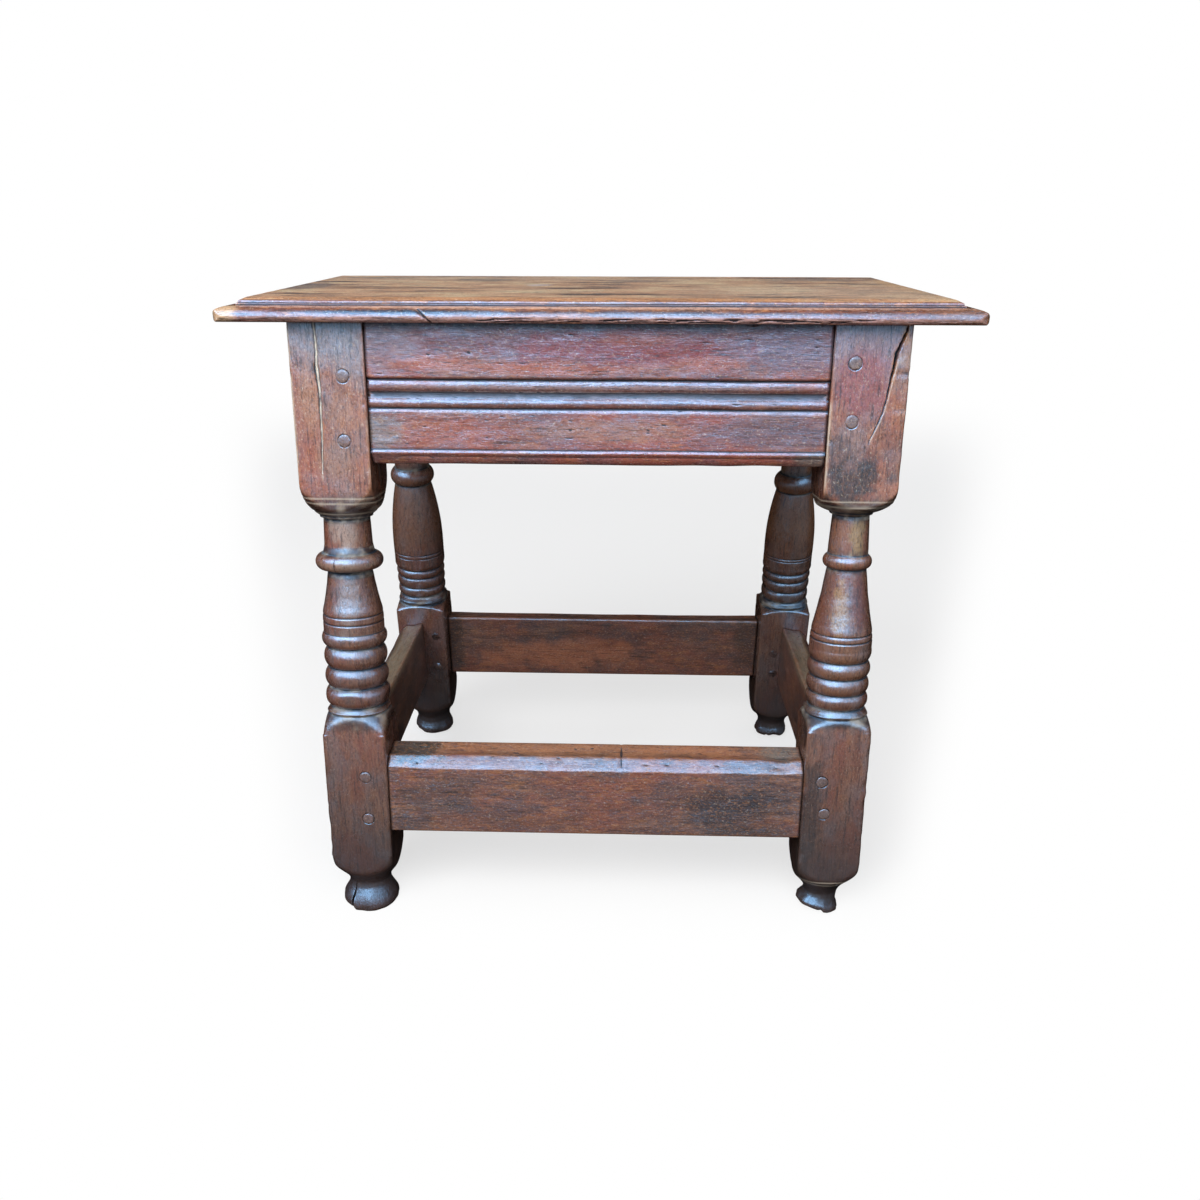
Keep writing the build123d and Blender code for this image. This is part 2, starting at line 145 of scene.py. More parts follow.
# ---- What the frame says ---------------------------------------------------
def node_points(name):
    """A CAD node's vertices."""
    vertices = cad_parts[name].data.vertices
    points = np.empty(len(vertices) * 3)
    vertices.foreach_get("co", points)
    return points.reshape(-1, 3)


def solids(name):
    """The vertices of each separate solid in a CAD node."""
    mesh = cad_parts[name].data
    points = node_points(name)
    keys, place = np.unique(np.round(points / (0.01 * MM)).astype(np.int64), axis=0,
                            return_inverse=True)
    place = place.ravel()
    group = np.arange(len(keys))

    def root(i):
        while group[i] != i:
            group[i] = group[group[i]]
            i = group[i]
        return i

    for edge in mesh.edges:
        first, second = root(place[edge.vertices[0]]), root(place[edge.vertices[1]])
        group[max(first, second)] = min(first, second)
    roots = np.array([root(i) for i in range(len(keys))])[place]
    return [points[roots == r] for r in sorted(set(roots))]


class Axes:
    """Local axes: across (outwards to the side), outwards (to the front or back) and down."""

    def __init__(self, origin, across, outwards, down):
        self.origin = np.asarray(origin, float)
        self.matrix = np.array((across, outwards, down), float)

    def local(self, points):
        return (points - self.origin) @ self.matrix.T

    def world(self, points):
        return points @ self.matrix + self.origin


def leg_axes(name):
    """A leg's own axes, from the middle of its top."""
    side = -1 if "left" in name else 1
    out = -1 if "front" in name else 1
    points = node_points(name)
    top = points[points[:, 2] > points[:, 2].max() - 0.01 * MM]
    origin = (top.max(0) + top.min(0)) / 2
    return Axes(origin, (side, 0, 0), (0, out * math.cos(SPLAY), math.sin(SPLAY)),
                (0, out * math.sin(SPLAY), -math.cos(SPLAY)))


def frame_axes(out):
    """Axes of the leaning front (-1) or rear (+1) frame, from the board's underside."""
    origin = leg_axes("leg_front_left" if out < 0 else "leg_rear_left").origin
    return Axes((0, origin[1], origin[2]), (1, 0, 0),
                (0, out * math.cos(SPLAY), math.sin(SPLAY)),
                (0, out * math.sin(SPLAY), -math.cos(SPLAY)))


def side_axes(side):
    """Axes of the upright left (-1) or right (+1) side, from the board's underside."""
    origin = leg_axes("leg_front_left").origin
    return Axes((side * abs(origin[0]), 0, origin[2]), (0, 1, 0), (side, 0, 0), (0, 0, -1))


def pegs_of(name):
    """Each peg of a node: its outer end, the direction it is driven in, its length and radius."""
    found = []
    for points in solids(name):
        middle = (points.max(0) + points.min(0)) / 2
        if name == "top_pegs":
            inwards = -UP
        elif "front" in name or "rear" in name:
            inwards = -frame_axes(-1 if "front" in name else 1).matrix[1]
        else:
            inwards = np.array((1.0 if "left" in name else -1.0, 0, 0))
        along = (points - middle) @ inwards
        across = np.linalg.norm(points - middle - np.outer(along, inwards), axis=1)
        found.append((middle + inwards * along.min(), inwards, np.ptp(along), across.max()))
    return sorted(found, key=lambda peg: tuple(np.round(peg[0], 4)))


# ---- Sizes and colours that a user would change ----------------------------
def length(name, description, default):
    return bpy.props.FloatProperty(name=name, description=description, default=default,
                                   min=0.0, unit="LENGTH", precision=5)


def share(name, description, default):
    return bpy.props.FloatProperty(name=name, description=description, default=default,
                                   min=0.0, max=1.0, subtype="FACTOR")


def colour(name, description, default):
    return bpy.props.FloatVectorProperty(name=name, description=description, default=default,
                                         size=3, min=0.0, max=1.0, subtype="COLOR")


class StoolBoardSettings(bpy.types.PropertyGroup):
    """Wear of the top board"""
    grid: length("Grid", "Spacing of the board's mesh", 1.8 * MM)
    relief: length("Relief", "Height of the raised grain", 0.12 * MM)
    edge_wear: length("Edge wear", "How far the edge wanders inwards", 0.7 * MM)
    nose: length("Nose", "Width of the rounded edge", 13.0 * MM)
    nose_height: length("Nose height", "Underside to the edge's widest line", 3.2 * MM)
    splinter: length("Splinters", "Depth of the splintered lower edge", 1.0 * MM)
    corner: length("Corner", "Radius that the corners are worn to", 9.5 * MM)


class StoolLegSettings(bpy.types.PropertyGroup):
    """Wear of the turned legs"""
    block_grid: length("Block grid", "Spacing of mesh rows along the square blocks", 1.5 * MM)
    turned_grid: length("Turned grid", "Spacing of mesh rows along the turnings", 0.6 * MM)
    upper_block_drop: length("Upper block", "Leg top to the end of the upper block's corners",
                             105.6 * MM)
    arris: length("Arris", "Rounding of the blocks' worn edges", 1.3 * MM)
    turned_arris: length("Turned arris", "Softness where the turning meets the faces", 0.4 * MM)
    dent: length("Dents", "Depth of dents and unevenness", 0.35 * MM)


class StoolRailSettings(bpy.types.PropertyGroup):
    """Wear of the rails"""
    grid: length("Grid", "Spacing of mesh rows along the rails", 2.0 * MM)
    outline: length("Outline", "Spacing of mesh points round the moulded face", 0.55 * MM)
    wave: length("Wave", "How far the hand-run mouldings wander", 0.35 * MM)
    joint: length("Joint gap", "Open joint between the rail's shoulder and the leg", 0.5 * MM)


class StoolStretcherSettings(bpy.types.PropertyGroup):
    """Wear of the stretchers"""
    grid: length("Grid", "Spacing of mesh rows along the stretchers", 1.6 * MM)
    outline: length("Outline", "Spacing of mesh points round the section", 0.9 * MM)
    wear: length("Foot wear", "How unevenly the upper edge is worn", 1.6 * MM)
    crown: length("Crown", "How far the back of the worn top stands up", 3.3 * MM)
    joint: length("Joint gap", "Open joint between the stretcher's shoulder and the leg", 0.3 * MM)


class StoolPegSettings(bpy.types.PropertyGroup):
    """Shape of the riven pegs"""
    dome: length("Dome", "How far a peg's head is domed", 0.34 * MM)
    sunk: length("Sunk", "How far a peg's head is worn back", 0.15 * MM)
    raggedness: share("Raggedness", "How uneven the facets are", 0.8)


class StoolFinishSettings(bpy.types.PropertyGroup):
    """Colours of the old waxed oak"""
    heart: colour("Heart", "Red-brown of the waxed oak", (0.220, 0.095, 0.070))
    pale: colour("Pale grain", "Lighter grain", (0.440, 0.230, 0.160))
    red: colour("Red grain", "Redder wood between", (0.360, 0.120, 0.078))
    # this brown-black also colours the painted shade
    dark: colour("Dark patina", "Brown-black of old wax and handling", (0.030, 0.023, 0.022))
    worn: colour("Worn wood", "Orange-brown where the edges are rubbed", (0.520, 0.220, 0.090))
    # a blue-grey tone for wax bloom and painted sheen
    bloom_and_sheen: colour("Bloom", "Blue-grey bloom of old wax", (0.250, 0.225, 0.255))
    bleached: colour("Bleached wood", "Grey-tan of the board's field", (0.330, 0.205, 0.130))
    # the pale colour also serves the painted highlights along some arrises
    dust: colour("Dust", "Pale dust and old filler in cracks", (0.740, 0.650, 0.530))


class StoolStageSettings(bpy.types.PropertyGroup):
    """Light, floor and camera"""
    key: bpy.props.FloatProperty(name="Key light", description="Power of the large key light",
                                 default=58.0, min=0.0, unit="POWER")
    sky: bpy.props.FloatProperty(name="Sky sheen", description="Strength of the sky in the wax",
                                 default=15.0, min=0.0)
    haze: bpy.props.FloatProperty(name="Low sky", description="Power of the panel low in front",
                                  default=26.0, min=0.0, unit="POWER")
    room: share("Room light", "Strength of the even light from above", 0.50)
    shade: share("Shade", "Strength of the even light from below", 0.14)
    floor: colour("Floor", "Pale floor", (0.88, 0.88, 0.88))


SETTINGS = {
    "stool_board": StoolBoardSettings,
    "stool_legs": StoolLegSettings,
    "stool_rails": StoolRailSettings,
    "stool_stretchers": StoolStretcherSettings,
    "stool_pegs": StoolPegSettings,
    "stool_finish": StoolFinishSettings,
    "stool_stage": StoolStageSettings,
}


# ---- Surfaces: grids of points with what the finish needs at each ----------
def grid_normals(points):
    """Unit normals of a grid that closes on itself along its columns."""
    along = np.gradient(points, axis=0)
    around = np.roll(points, -1, axis=1) - np.roll(points, 1, axis=1)
    normal = np.cross(around, along)
    size = np.linalg.norm(normal, axis=-1, keepdims=True)
    return normal / np.maximum(size, 1e-12)


def sagitta(lines, normals, reach, closed):
    """How far each point of each line stands out from its neighbours a reach away."""
    result = np.empty(lines.shape[:2])
    for i, (line, normal) in enumerate(zip(lines, normals)):
        if closed:
            line = np.concatenate((line, line, line))
        travel = np.concatenate(([0.0], np.cumsum(np.linalg.norm(np.diff(line, axis=0), axis=1))))
        travel += np.arange(len(travel)) * 1e-12
        middle = slice(len(normal), 2 * len(normal)) if closed else slice(None)
        at = travel[middle]
        away = [np.stack([np.interp(at + d, travel, line[:, k]) for k in range(3)], -1)
                for d in (-reach, reach)]
        result[i] = np.einsum("ij,ij->i", line[middle] - (away[0] + away[1]) / 2, normal)
    return result


def convexity(points, normals, reach, closed=True):
    """Share by which the surface is an edge (+) or a hollow (-) at the scale of a reach."""
    along = sagitta(points.transpose(1, 0, 2), normals.transpose(1, 0, 2), reach, False).T
    around = sagitta(points, normals, reach, closed)
    return (along + around) / reach


def outward_sign(points, normals):
    """+1 where the grid's normals point out of the tube, -1 where they point in."""
    middle = points.mean(axis=1, keepdims=True)
    return 1.0 if np.sum((points - middle) * normals) > 0 else -1.0


def closed_rings(rings, shares=(0.97, 0.8, 0.45, 0.1)):
    """Rings with smaller ones at each end that close the tube."""
    start = [rings[0].mean(0) + (rings[0] - rings[0].mean(0)) * s for s in reversed(shares)]
    end = [rings[-1].mean(0) + (rings[-1] - rings[-1].mean(0)) * s for s in shares]
    return np.concatenate((np.array(start), rings, np.array(end)))


def tube_faces(rows, columns, first=0):
    """Quads between the rings of a tube, and a face over each end."""
    i, j = np.meshgrid(np.arange(rows - 1), np.arange(columns), indexing="ij")
    right = (j + 1) % columns
    quads = np.stack((i * columns + j, i * columns + right, (i + 1) * columns + right,
                      (i + 1) * columns + j), -1).reshape(-1, 4) + first
    ends = [list(range(first, first + columns))[::-1],
            list(range(first + (rows - 1) * columns, first + rows * columns))]
    return quads.tolist() + ends


def signed_volume(points, faces):
    """Volume inside a closed mesh of quads, negative if its faces point inwards."""
    quads = np.array([face for face in faces if len(face) == 4])
    a, b, c, d = (points[quads[:, k]] for k in range(4))
    return np.sum(a * (np.cross(b, c) + np.cross(c, d)))


# what the finish finds at a point where nothing else is said
PLAIN = {"tint": 0.0, "tinted": 0.0, "gloom": 0.0, "dark": 0.0, "light": 0.0, "dry": 0.0, "rim": FAR}


class Surface:
    """Collects closed grids and what the finish needs at each point, and makes one object."""

    def __init__(self, name):
        self.name = name
        self.points, self.faces, self.count = [], [], 0
        self.values = {}

    def add(self, points, faces, **values):
        """Adds points with the faces between them, and their values by attribute name."""
        faces = [[i + self.count for i in face] for face in faces]
        self.points.append(points)
        self.faces += faces
        self.count += len(points)
        for key, value in values.items():
            self.values.setdefault(key, []).append(value)

    def tube(self, rings, grain, **values):
        """Adds a closed tube of rings; grain turns points into lengths along and across the grain."""
        normals = grid_normals(rings)
        normals = normals * outward_sign(rings, normals)
        fine = convexity(rings, normals, 0.8 * MM)
        broad = convexity(rings, normals, 3.0 * MM)
        flat = rings.reshape(-1, 3)
        faces = tube_faces(*rings.shape[:2])
        if signed_volume(flat, faces) < 0:
            faces = [face[::-1] for face in faces]
        spread = {key: np.broadcast_to(value, rings.shape).reshape(-1, 3) if key == "tint"
                  else np.broadcast_to(value, rings.shape[:2]).ravel()
                  for key, value in {**PLAIN, **values}.items()}
        self.add(flat, faces, grain=grain(flat), fine=fine.ravel(), broad=broad.ravel(), **spread)

    def make(self, body, slot, material, replaced):
        """Makes the object, with its attributes, and seats it in the frame."""
        mesh = bpy.data.meshes.new(self.name)
        mesh.from_pydata(np.concatenate(self.points).tolist(), [], self.faces)
        for key, parts in self.values.items():
            data = np.concatenate(parts).astype(np.float32)
            kind = "FLOAT_VECTOR" if data.ndim == 2 else "FLOAT"
            attribute = mesh.attributes.new(key, kind, "POINT")
            attribute.data.foreach_set("vector" if data.ndim == 2 else "value", data.ravel())
        mesh.shade_smooth()
        mesh.update()
        piece = bpy.data.objects.new(self.name, mesh)
        bpy.context.scene.collection.objects.link(piece)
        mesh.materials.append(material)
        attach(piece, body)
        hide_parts(*replaced)
        return piece


def tinted(points, rows, spot=lambda *place: place):
    """Colour and amount of soft-edged patches, laid over each other in order.

    A row says a patch's middle and its reach along each axis, in mm, its colour, its strength
    and, where it isn't the usual 0.35, how ragged it is. The spot turns a middle into a place."""
    tint, amount = np.zeros(points.shape), np.zeros(points.shape[:-1])
    for number, (middle, reach, tone, strength, *ragged) in enumerate(rows):
        reach = np.array(reach) * MM
        away = np.linalg.norm((points - np.array(spot(*middle)) * MM) / reach, axis=-1)
        uneven = unevenness(points, reach.min() * 0.6, 200 + number, 3)
        away = away + (ragged[0] if ragged else 0.35) * uneven
        cover = strength * ease((1.25 - away) / 0.7)
        total = cover + amount * (1 - cover)
        share_new = np.where(total > 0, cover / np.maximum(total, 1e-9), 0)[..., None]
        tint = tint * (1 - share_new) + np.array(tone) * share_new
        amount = total
    return tint, amount


def gloom(points):
    """Painted shade, as a share from 0 to 1: most at the feet and towards the back."""
    low = ease((0.30 - points[..., 2]) / 0.30)
    behind = ease((points[..., 1] + 0.04) / 0.12)
    at_floor = ease((0.095 - points[..., 2]) / 0.06)
    return np.clip(1 - (1 - 0.80 * low) * (1 - 0.10 * behind) * (1 - 0.45 * at_floor), 0, 1)


def peg_rings(points, pegs):
    """Distance of each point outside the rim of the nearest peg, up to a limit."""
    nearest = np.full(points.shape[:-1], FAR)
    for head, inwards, depth, radius in pegs:
        away = points - head
        along = away @ inwards
        across = np.linalg.norm(away - along[..., None] * inwards, axis=-1) - radius
        across = np.where(np.abs(along) < 4 * MM, across, FAR)
        nearest = np.minimum(nearest, across)
    return nearest


# ---- Finish ----------------------------------------------------------------
class Nodes:
    """Short ways to add shader nodes to a new material or world."""

    def __init__(self, owner):
        owner.use_nodes = True
        self.owner, self.tree = owner, owner.node_tree
        self.tree.nodes.clear()

    def link(self, value, socket):
        if isinstance(value, bpy.types.NodeSocket):
            self.tree.links.new(value, socket)
        elif value is not None:
            socket.default_value = value

    def paint(self, tone, socket):
        """Links a colour, or sets a plain one."""
        self.link(tone if isinstance(tone, bpy.types.NodeSocket) else (*tone, 1.0), socket)

    def node(self, kind, **settings):
        node = self.tree.nodes.new(kind)
        for key, value in settings.items():
            setattr(node, key, value)
        return node

    def fed(self, kind, inputs, **settings):
        """A new node with its settings, and its inputs linked or set by name."""
        node = self.node(kind, **settings)
        for key, value in inputs.items():
            self.link(value, node.inputs[key])
        return node

    def pair(self, kind, first, second, **settings):
        """The first output of a node with one or two inputs."""
        node = self.node(kind, **settings)
        for value, socket in zip((first, second), node.inputs):
            self.link(value, socket)
        return node.outputs[0]

    def attribute(self, name):
        node = self.node("ShaderNodeAttribute", attribute_name=name)
        return node.outputs["Vector"] if name in ("grain", "tint") else node.outputs["Fac"]

    def math(self, operation, first, second=None, clamp=False):
        return self.pair("ShaderNodeMath", first, second, operation=operation, use_clamp=clamp)

    def times(self, first, second):
        return self.math("MULTIPLY", first, second)

    def plus(self, first, second, clamp=False):
        return self.math("ADD", first, second, clamp)

    def rest(self, value):
        """What is left of 1."""
        return self.math("SUBTRACT", 1.0, value, clamp=True)

    def blend(self, first, share_first, second):
        """The first by its share and the second by the rest."""
        return self.plus(self.times(first, share_first), self.times(second, 1 - share_first))

    def scale(self, vector, factors):
        return self.pair("ShaderNodeVectorMath", vector, factors, operation="MULTIPLY")

    def shift(self, vector, offset):
        return self.pair("ShaderNodeVectorMath", vector, offset, operation="ADD")

    def parts(self, vector):
        """The X, Y and Z of a vector."""
        return self.fed("ShaderNodeSeparateXYZ", {0: vector}).outputs

    def noise(self, vector, scale, detail, roughness=0.55, offset=None):
        """Noise with a scale for each axis."""
        spot = self.scale(vector, scale)
        if offset:
            spot = self.shift(spot, offset)
        return self.fed("ShaderNodeTexNoise", {"Vector": spot, "Scale": 1.0, "Detail": detail,
                                               "Roughness": roughness}).outputs["Fac"]

    def ramp(self, value, low, high, start=0.0, end=1.0):
        """Smooth climb from start to end as the value goes from low to high."""
        inputs = {"Value": value, "From Min": low, "From Max": high, "To Min": start, "To Max": end}
        return self.fed("ShaderNodeMapRange", inputs, interpolation_type="SMOOTHSTEP").outputs[0]

    def mix(self, share_second, first, second):
        node = self.fed("ShaderNodeMix", {"Factor": share_second}, data_type="RGBA",
                        clamp_factor=True)
        self.paint(first, node.inputs[6])
        self.paint(second, node.inputs[7])
        return node.outputs[2]

    def layers(self, under, *coats):
        """Lays each (amount, colour) over what is under it."""
        for amount, tone in coats:
            under = self.mix(amount, under, tone)
        return under

    def choose(self, share_second, first, second):
        """A mix of two shaders."""
        blend = self.fed("ShaderNodeMixShader", {0: share_second, 1: first, 2: second})
        return blend.outputs[0]

    def show(self, shader, kind="Material"):
        """Ends the tree in its output, and gives the material or world."""
        self.fed(f"ShaderNodeOutput{kind}", {"Surface": shader})
        return self.owner


def old_oak(name, body, pale, red, wear=0.5, fleck=0.5, wax=0.6, rough=0.32, dirt=0.5, relief=1.0,
            gloss=0.5, film=0.5, bloom_and_sheen_tint=(0.15, 0.12, 0.13), scuff=0.3, bare=None):
    """Waxed old oak: fibres, pores, rays, patina, rubbed edges, dark hollows, listed tints, painted
    shade, and a film of wax bloom and painted sheen.
    """
    finish = bpy.context.scene.stool_finish
    dark, worn, dust = finish.dark[:], finish.worn[:], finish.dust[:]
    n = Nodes(bpy.data.materials.new(name))
    grain, dryness, painted_shade_share = n.attribute("grain"), n.attribute("dry"), n.attribute("gloom")
    sway = n.noise(grain, (9, 30, 30), 2)
    bent = n.shift(grain, n.scale(n.shift(sway, (-0.5, -0.5, -0.5)), (0.0, 0.006, 0.006)))
    fibres = n.noise(bent, (90, 1500, 1500), 3, 0.6)
    streaks = n.noise(bent, (16, 190, 190), 4, 0.65)
    lines = n.noise(bent, (45, 620, 620), 3, 0.7)
    pores = n.ramp(n.noise(bent, (260, 2400, 2400), 2, 0.5), 0.58, 0.68)
    rays = n.ramp(n.noise(bent, (520, 900, 700), 2, 0.6), 0.53, 0.63)
    blotches = n.noise(grain, (34, 55, 55), 6, 0.68)
    clouds = n.noise(grain, (9, 16, 16), 4, 0.6, (3.1, 7.7, 1.9))
    specks = n.noise(grain, (520, 800, 800), 3, 0.7)
    dimples = n.noise(grain, (150, 240, 240), 3, 0.6)
    waves = n.noise(grain, (38, 70, 70), 2, 0.5)
    veil = n.noise(grain, (30, 48, 48), 4, 0.62, (6.3, 2.9, 4.4))
    scuffs = n.noise(grain, (75, 260, 260), 4, 0.65, (1.7, 5.2, 8.8))
    fine, broad = n.attribute("fine"), n.attribute("broad")
    edge = n.plus(n.ramp(fine, 0.08, 0.34), n.ramp(broad, 0.14, 0.50), clamp=True)
    hollow = n.plus(n.ramp(fine, -0.04, -0.26), n.ramp(broad, -0.07, -0.36), clamp=True)
    tone = n.blend(streaks, 0.5, fibres)

    # grain, red clouds, and a patchy blue-grey film of wax bloom and painted sheen
    wood = n.layers(n.mix(n.ramp(tone, 0.40, 0.60), body, pale),
                    (n.ramp(clouds, 0.40, 0.60, 0.0, 0.9), red),
                    (n.ramp(veil, 0.46, 0.62, 0.0, film), bloom_and_sheen_tint))
    if bare:
        deep, plain, pale_streak = bare
        mottled = n.blend(n.noise(bent, (13, 48, 48), 4, 0.68), 0.6, streaks)
        field = n.layers(deep, (n.ramp(mottled, 0.42, 0.49), plain),
                         (n.ramp(mottled, 0.51, 0.57), pale_streak))
        wood = n.mix(dryness, wood, field)
    scuffed = n.times(n.ramp(scuffs, 0.53, 0.61, 0.0, scuff), n.ramp(veil, 0.58, 0.46))
    scuffed = n.times(scuffed, n.ramp(dryness, 0.0, 1.0, 1.0, 0.4))
    soot = n.ramp(n.blend(blotches, 0.6, tone), 0.60 - 0.12 * dirt, 0.74 - 0.06 * dirt, 0.0, 0.7)
    rubbed = n.times(edge, n.ramp(n.blend(blotches, 0.6, specks), 0.44, 0.60))
    rim = n.math("ABSOLUTE", n.attribute("rim"))
    ring = n.times(n.ramp(rim, 0.15 * MM, 0.75 * MM, 1.0, 0.0),
                   n.ramp(dimples, 0.35, 0.62, 0.15, 0.9))
    wood = n.layers(
        wood,
        (scuffed, worn),
        (n.times(n.attribute("tinted"), n.ramp(tone, 0.3, 0.6, 0.8, 1.0)), n.attribute("tint")),
        (n.times(rays, 0.60 * fleck), worn),
        (n.ramp(lines, 0.56, 0.66, 0.0, 0.35), pale),
        (n.ramp(lines, 0.46, 0.34, 0.0, 0.60), dark),
        # painted shade
        (soot, dark),
        (n.times(rubbed, wear), worn),
        (n.times(pores, 0.6), dark),
        (n.times(n.ramp(specks, 0.54, 0.66), 0.5), dark),
        (n.times(n.ramp(specks, 0.42, 0.30), 0.40), dust),
        (painted_shade_share, dark),
        (n.times(hollow, 0.92), (0.010, 0.007, 0.006)),
        (n.attribute("dark"), (0.004, 0.003, 0.003)),
        # pale dust, crack filling and torn lips, and painted highlights along some arrises
        (n.attribute("light"), dust),
        (ring, (0.006, 0.004, 0.004)))

    roughness = n.plus(n.times(blotches, 0.24), rough - 0.12)
    roughness = n.plus(roughness, n.times(hollow, 0.30))
    roughness = n.plus(roughness, n.ramp(painted_shade_share, 0.75, 0.95, 0.0, 0.15))
    roughness = n.plus(roughness, n.times(dryness, 0.35), clamp=True)
    height = n.times(fibres, 0.10)
    for value, depth in ((streaks, 0.10), (dimples, 0.26), (waves, 1.00), (specks, 0.10),
                         (pores, -0.05), (ring, -0.25)):
        height = n.plus(height, n.times(value, depth))
    bump = n.fed("ShaderNodeBump", {"Strength": relief, "Distance": 1 * MM, "Height": height})
    waxed = n.ramp(painted_shade_share, 0.75, 0.93, 1.0, 0.35)
    for dull in (hollow, dryness, n.attribute("dark"), n.attribute("light")):
        waxed = n.times(waxed, n.rest(dull))
    shader = n.fed("ShaderNodeBsdfPrincipled", {
        "Base Color": wood, "Roughness": roughness, "IOR": 1.5, "Specular IOR Level": gloss,
        "Coat Weight": n.times(waxed, n.ramp(veil, 0.40, 0.54, 0.6 * wax, wax)),
        "Coat Roughness": 0.16, "Coat Tint": (1.0, 0.98, 0.95, 1.0),
        "Normal": bump.outputs[0], "Coat Normal": bump.outputs[0]})
    return n.show(shader.outputs[0])


def oak_for(kind):
    """The old oak of one kind of piece, made once."""
    name = f"old_oak_{kind}"
    if name in bpy.data.materials:
        return bpy.data.materials[name]
    finish = bpy.context.scene.stool_finish

    def toned(key, factor=1):
        """A colour of the finish times a number, or times one for each of red, green and blue."""
        return tuple(np.array(getattr(finish, key)) * factor)

    looks = {
        "top": dict(body=toned("heart", 0.75), pale=toned("pale", 0.7), red=toned("red", 0.7),
                    bare=(toned("bleached", (0.24, 0.21, 0.19)),
                          toned("bleached", (1.42, 1.2, 1.02)),
                          toned("bleached", (1.75, 1.95, 1.75))), wear=0.35,
                    fleck=0.2, wax=1.0, rough=0.26, dirt=0.8, film=0.3, scuff=0.9, gloss=0.3),
        "leg": dict(body=toned("heart"), pale=toned("pale"), red=toned("red"), wear=0.35,
                    fleck=0.3, wax=1.0, rough=0.27, gloss=0.75, bloom_and_sheen_tint=toned("bloom_and_sheen"),
                    film=0.45),
        "rail": dict(body=toned("heart", (0.75, 0.8, 1.0)), pale=toned("pale", (0.75, 0.72, 0.9)),
                     red=toned("red", (0.9, 0.75, 0.85)), wear=0.0, fleck=0.25, wax=1.0,
                     rough=0.27, bloom_and_sheen_tint=toned("bloom_and_sheen", (0.62, 0.45, 0.55)), film=0.4),
        "stretcher": dict(body=toned("heart", (0.5, 0.55, 0.7)), red=toned("red", 0.85),
                          pale=toned("pale", (0.72, 0.78, 0.9)), wear=0.5, fleck=0.8, wax=0.6,
                          dirt=0.8, film=0.6, scuff=0.5,
                          bloom_and_sheen_tint=toned("bloom_and_sheen", (0.40, 0.36, 0.36))),
        "peg": dict(body=toned("heart", 0.8), pale=toned("pale", 0.8), red=toned("red", 0.7),
                    wear=0.1, fleck=0.0, wax=0.7, relief=0.6, scuff=0.0),
    }
    return old_oak(name, **looks[kind])


def piece_name(node):
    """Name of the finished piece that stands for a CAD node."""
    return f"aged_{node}"


def grain_along(axes, order, offset):
    """Turns points into local coordinates, with the one along the grain first."""
    def lengths(points):
        return axes.local(points)[..., order] + np.asarray(offset)
    return lengths


# ---- Legs ------------------------------------------------------------------
class Crack:
    """A crack down a leg's front: (across, drop, width, depth) in mm along it, and its filling.

    The lip is how pale its outer edge is torn."""

    def __init__(self, *places, filled=0.0, filled_to=0.0, lip=0.0):
        self.across, self.drop, self.widths, self.depths = np.array(places).T * MM
        self.filled, self.filled_to, self.lip = filled, filled_to * MM, lip

    def place(self, drop):
        """Where the crack runs across the face; it wanders a little."""
        spot = np.stack((drop, 0 * drop, 0 * drop), -1)
        return np.interp(drop, self.drop, self.across) + 0.9 * MM * lumps(spot, 8, 21, 3)

    def at(self, drop, values):
        """A value along the crack, gone past its ends."""
        inside = ease((self.drop[-1] + 4 * MM - drop) / (4 * MM))
        inside = inside * ease((drop - self.drop[0] + 4 * MM) / (4 * MM))
        return np.interp(drop, self.drop, values) * inside


CRACKS = {
    "leg_front_left": Crack(
        (6.9, -1, 2.0, 1.5), (6.4, 18, 1.5, 1.3), (6.3, 32, 2.4, 1.8), (5.7, 51, 1.9, 1.4),
        (6.0, 70, 1.5, 1.1), (7.0, 83, 1.2, 0.8), (7.4, 97, 0.9, 0.4), (7.4, 103, 0, 0),
        (5.8, 155, 0, 0), (5.6, 160, 0.8, 1.0), (5.6, 167, 0.8, 1.0), (6.0, 172, 0, 0),
        (13.1, 250, 0, 0), (13.1, 403, 0, 0), (13.1, 408, 1.2, 2.0), (13.4, 427, 2.2, 6.0),
        filled=0.95, filled_to=104),
    "leg_front_right": Crack(
        (20.4, -1, 0.7, 2.0), (20.0, 6, 1.0, 4.0), (18.0, 13, 1.8, 6.5), (15.4, 20, 2.3, 6.0),
        (14.0, 26, 1.7, 5.5), (12.5, 36, 1.2, 4.0), (11.3, 47, 0.9, 2.0), (9.0, 57, 0.8, 0.9),
        (5.6, 66, 0.8, 0.6), (2.2, 74, 0.6, 0.4), lip=0.6),
}
CHIPS = {                               # across, drop, reach across, reach along, depth, in mm
    "leg_front_right": ((18.3, 54.0, 5.0, 5.2, 0.6), (24.2, 32.5, 2.4, 2.6, 1.3)),
}
BLOCK_END = ((46.5, 33.8), (43.0, 32.6), (39.0, 30.2), (35.0, 27.2), (31.0, 23.6))
